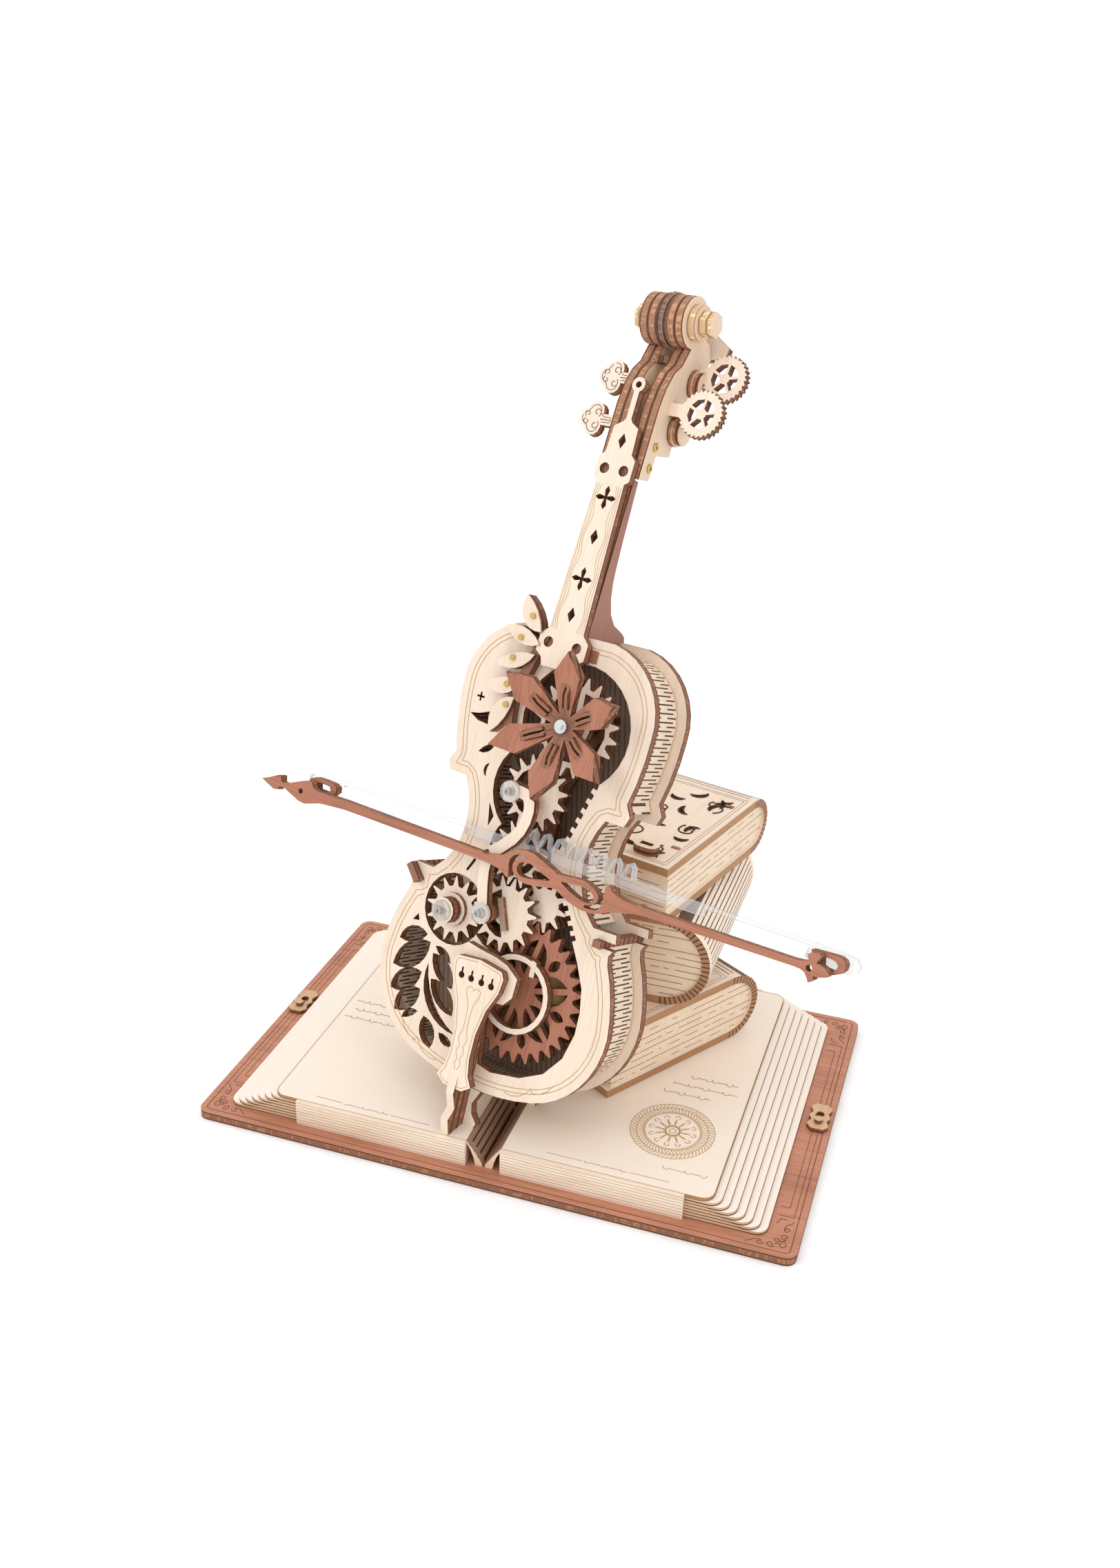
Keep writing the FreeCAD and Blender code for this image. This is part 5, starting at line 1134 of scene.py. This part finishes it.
rosette = [arc(*rosette_place, radius) for radius in rosette_rings]
for angle in range(0, 360, ray_step):
    rosette.append([on_ring(10.9, angle), on_ring(12.7, angle + ray_lean)])
    rosette.append([on_ring(13.3, angle + ray_lean), on_ring(14.7, angle)])
for angle in range(0, 360, leaf_step):
    rosette.append(arc(*on_ring(5.6, angle), 3.0, angle + 90, angle + 270))
    rosette.append(arc(*on_ring(7.8, angle), 1.1, angle - 140, angle + 140, 0.5))
row_ends = (
    (-80.0, -52.0, 0.0, 1.0), (-79.0, -50.0, -5.6, 1.1), (-81.0, -56.0, -11.2, 1.0),
    (58.0, 76.0, -1.4, 1.1), (52.0, 77.0, -7.0, 1.0), (50.0, 68.0, -12.6, 1.1),
)
rows = [tendril_row(*ends) for ends in row_ends]
stroke("page_rosette", rosette + rows, flat_frame, page_level, gold_line, width=0.34)
print("the rosette has", len(rosette), "lines, and there are", len(rows), "rows")

# %% [markdown]
# ## Painted shadow lines and rims of the page sheets
#
# A thin line of painted shadow parts each sheet from the sheet below, where the one lies on
# the other. The material of the stair draws that line on the risers, but it fades from a low
# view. A wire along the foot of every step keeps it crisp, and its path is the outline of the
# step itself. A browner wire marks the rims of the two top sheets.

# %% Painted shadow lines under the page sheets
steps = 8
shadow_line_rise, rim_drop = 0.02, 0.08
for side in ("left", "right"):
    shadow_lines = 0
    for layer in range(steps):
        foot = ply + step * layer
        node = "page_sheets" if layer == steps - 1 else side + "_page_stack"
        loops = face_loops(node, flat_frame, foot + step)
        here = [loop for loop in loops if (loop[0][0] > 0) == (side == "right")]
        name = "seam_%s_%d" % (side, round(foot * 100))
        # Each wire is a line of painted shadow in the crease under a sheet.
        stroke(name, closed(here), flat_frame, foot + shadow_line_rise, shadow_and_burnt_line, width=0.26)
        shadow_lines += len(here)
    print(side, "pages:", shadow_lines, "shadow_lines")

# %% Scorched rims of the top sheets
rims = closed(face_loops("page_sheets", flat_frame, page_level))
stroke("page_rims", rims, flat_frame, page_level - rim_drop, page_rim, width=0.4)
print("rims:", len(rims))

# %% [markdown]
# ## Lines on the closed books
#
# Two fine lines follow the edge of each cover. The upper cover also has shallow cut-outs,
# whose rims are burnt dark, and dark curls between them. The curls are spirals, and a list
# says only where each one lies and how it is turned.

# %% Lines and cut-outs on the covers
cover_insets, cover_clear = (2.2, 3.4), 0.8
for book, top in book_tops.items():
    loops = face_loops(book + "_book_cover", flat_frame, top)
    around = outermost(loops)
    lines = []
    for inset in cover_insets:
        lines += inset_lines(loops, around, inset, cover_clear)
    cutouts = closed([loop for loop in loops if loop not in around])
    if lines:
        stroke(book + "_book_lines", lines, flat_frame, top, burnt_line, width=0.22)
    if cutouts:
        stroke(book + "_book_cutouts", cutouts, flat_frame, top, shadow_and_burnt_line, width=0.8)
    print(book, "book:", len(lines), "lines and", len(cutouts), "cut-outs")

# %% Curls on the upper book
curl_places = (
    (10, 10, 0), (10, 42, 90), (30, 9, 40), (30, 43, 130),
    (52, 10, 200), (52, 42, 250), (40, 26, 20), (20, 26, 200),
)
curls = []
for u, v, turn in curl_places:
    curls.append(arc(u, v, 4.2, turn, turn + 250, 1.6))
    curls.append(arc(u + 2.0, v + 1.0, 3.2, turn + 190, turn + 330, 1.0))
upper_thickness = book_sizes["upper"][2]
stroke("upper_book_curls", curls, book_frames["upper"], upper_thickness, shadow_and_burnt_line, width=0.8)
print("curls:", len(curls))

# %% [markdown]
# ## Screws
#
# The screws that close the clear caps are too small for the CAD model, yet the eye finds
# them. A plain cylinder would look like a peg. So its outer face is inset and raised to a
# rim, then inset again and pushed in, as on a turned head. Each screw rides on its wheel.

# %% Turned heads
head_sides, sunk_share = 20, 0.45


def start_at(plane, x, y, z):
    """Deselect everything, and say where on a sheet the next primitive starts."""
    bpy.ops.object.select_all(action="DESELECT")
    return {"location": plane @ (Vector((x, y, z)) * MM), "rotation": plane.to_euler()}


def edit(mode):
    """Apply the place of the new piece and go into edit mode."""
    bpy.ops.object.transform_apply(location=True, rotation=True, scale=True)
    bpy.ops.object.mode_set(mode="EDIT")
    bpy.ops.mesh.select_mode(type=mode)


def settle(name, material, body):
    """Leave edit mode, and give the new piece its name, finish and body."""
    bpy.ops.object.mode_set(mode="OBJECT")
    made = bpy.context.object
    made.name = name
    made.data.materials.append(material)
    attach(made, body)


def turned_head(name, plane, place, sizes, material, body):
    """A small round head: a disc with a stepped rim and a sunk middle."""
    radius, depth, rim, rise, sink = (size * MM for size in sizes)
    axis = plane.to_3x3().col[2]
    bpy.ops.mesh.primitive_cylinder_add(
        vertices=head_sides, radius=radius, depth=depth, **start_at(plane, *place)
    )
    edit("FACE")
    bpy.ops.mesh.select_all(action="DESELECT")
    mesh = bmesh.from_edit_mesh(bpy.context.object.data)
    outer = max(mesh.faces, key=lambda face: face.normal.dot(axis) * face.calc_area())
    outer.select_set(True)
    bmesh.update_edit_mesh(bpy.context.object.data)
    bpy.ops.mesh.inset(thickness=rim)
    bpy.ops.transform.translate(value=axis * rise)
    bpy.ops.mesh.inset(thickness=(radius - rim) * sunk_share)
    bpy.ops.mesh.extrude_region_move(TRANSFORM_OT_translate={"value": axis * -sink})
    settle(name, material, body)


print("a head has", head_sides, "sides")

# %% Screws of the clear caps
screw_sizes = (1.3, 0.9, 0.3, 0.25, 0.45)
screws = {
    "side_screw": ((-22.3, 72.7, 9.0), "side_wheel"),
    "lower_crank_screw": ((-5.7, 77.1, 9.6), "lower_crank"),
    "upper_crank_screw": ((-4.7, 121.3, 9.6), "upper_crank"),
}
for name, (place, body) in screws.items():
    turned_head(name, body_frame, place, screw_sizes, steel, body)
print("screws:", len(screws))

# %% [markdown]
# ## Tenon ends
#
# Where one plate locks into the next, the sawn end of a tab shows in the face, a little
# proud of it. Here it is a small block with its sharp edges broken by a bevel, as a knife or
# a file would leave them.

# %% Tenons of the neck and the upper book
tenon_depth, tenon_bevel, tenon_sink = 1.0, 0.15, 0.1
book_tenon, heel_tenon = (1.6, 3.4), (3.4, 4.4)
book_plane = book_frames["upper"] @ moved(0, 0, upper_thickness - tenon_sink)
tenons = {
    "heel_tenon": (body_frame, (10.9, 172.6, -0.2), heel_tenon),
    "book_tenon_low": (book_plane, (15.5258, 5.7585, 0.0), book_tenon),
    "book_tenon_high": (book_plane, (56.8875, 5.9178, 0.0), book_tenon),
}
for name, (plane, place, (width, length)) in tenons.items():
    bpy.ops.mesh.primitive_cube_add(size=MM, **start_at(plane, *place))
    bpy.context.object.scale = (width, length, tenon_depth)
    edit("EDGE")
    bpy.ops.mesh.select_all(action="SELECT")
    bpy.ops.mesh.bevel(offset=tenon_bevel * MM, segments=1)
    settle(name, tenon_wood, "music_box")
print("tenon ends:", len(tenons))

# %% [markdown]
# ## Eyelets
#
# Brass eyelets sit on both cheeks of the peg box, two on each. They are turned heads too,
# only wider and flatter. Turned half round, the plane of one cheek serves the other.

# %% Eyelets of the cheeks
eyelet_sizes = (1.5, 0.5, 0.3, 0.2, 0.4)
cheek_middle, eyelet_face = 7.7, 8.7
eyelet_rows = (("high", 72.8), ("low", 65.4))
cheeks = (
    ("right", side_frame, cheek_middle),
    ("left", side_frame @ turned(180.0, "Y"), -cheek_middle),
)
for cheek, plane, x in cheeks:
    for row, along in eyelet_rows:
        place = (x, along, eyelet_face)
        name = "eyelet_%s_%s" % (cheek, row)
        turned_head(name, plane, place, eyelet_sizes, brass, "music_box")
print("eyelets:", len(cheeks) * len(eyelet_rows))
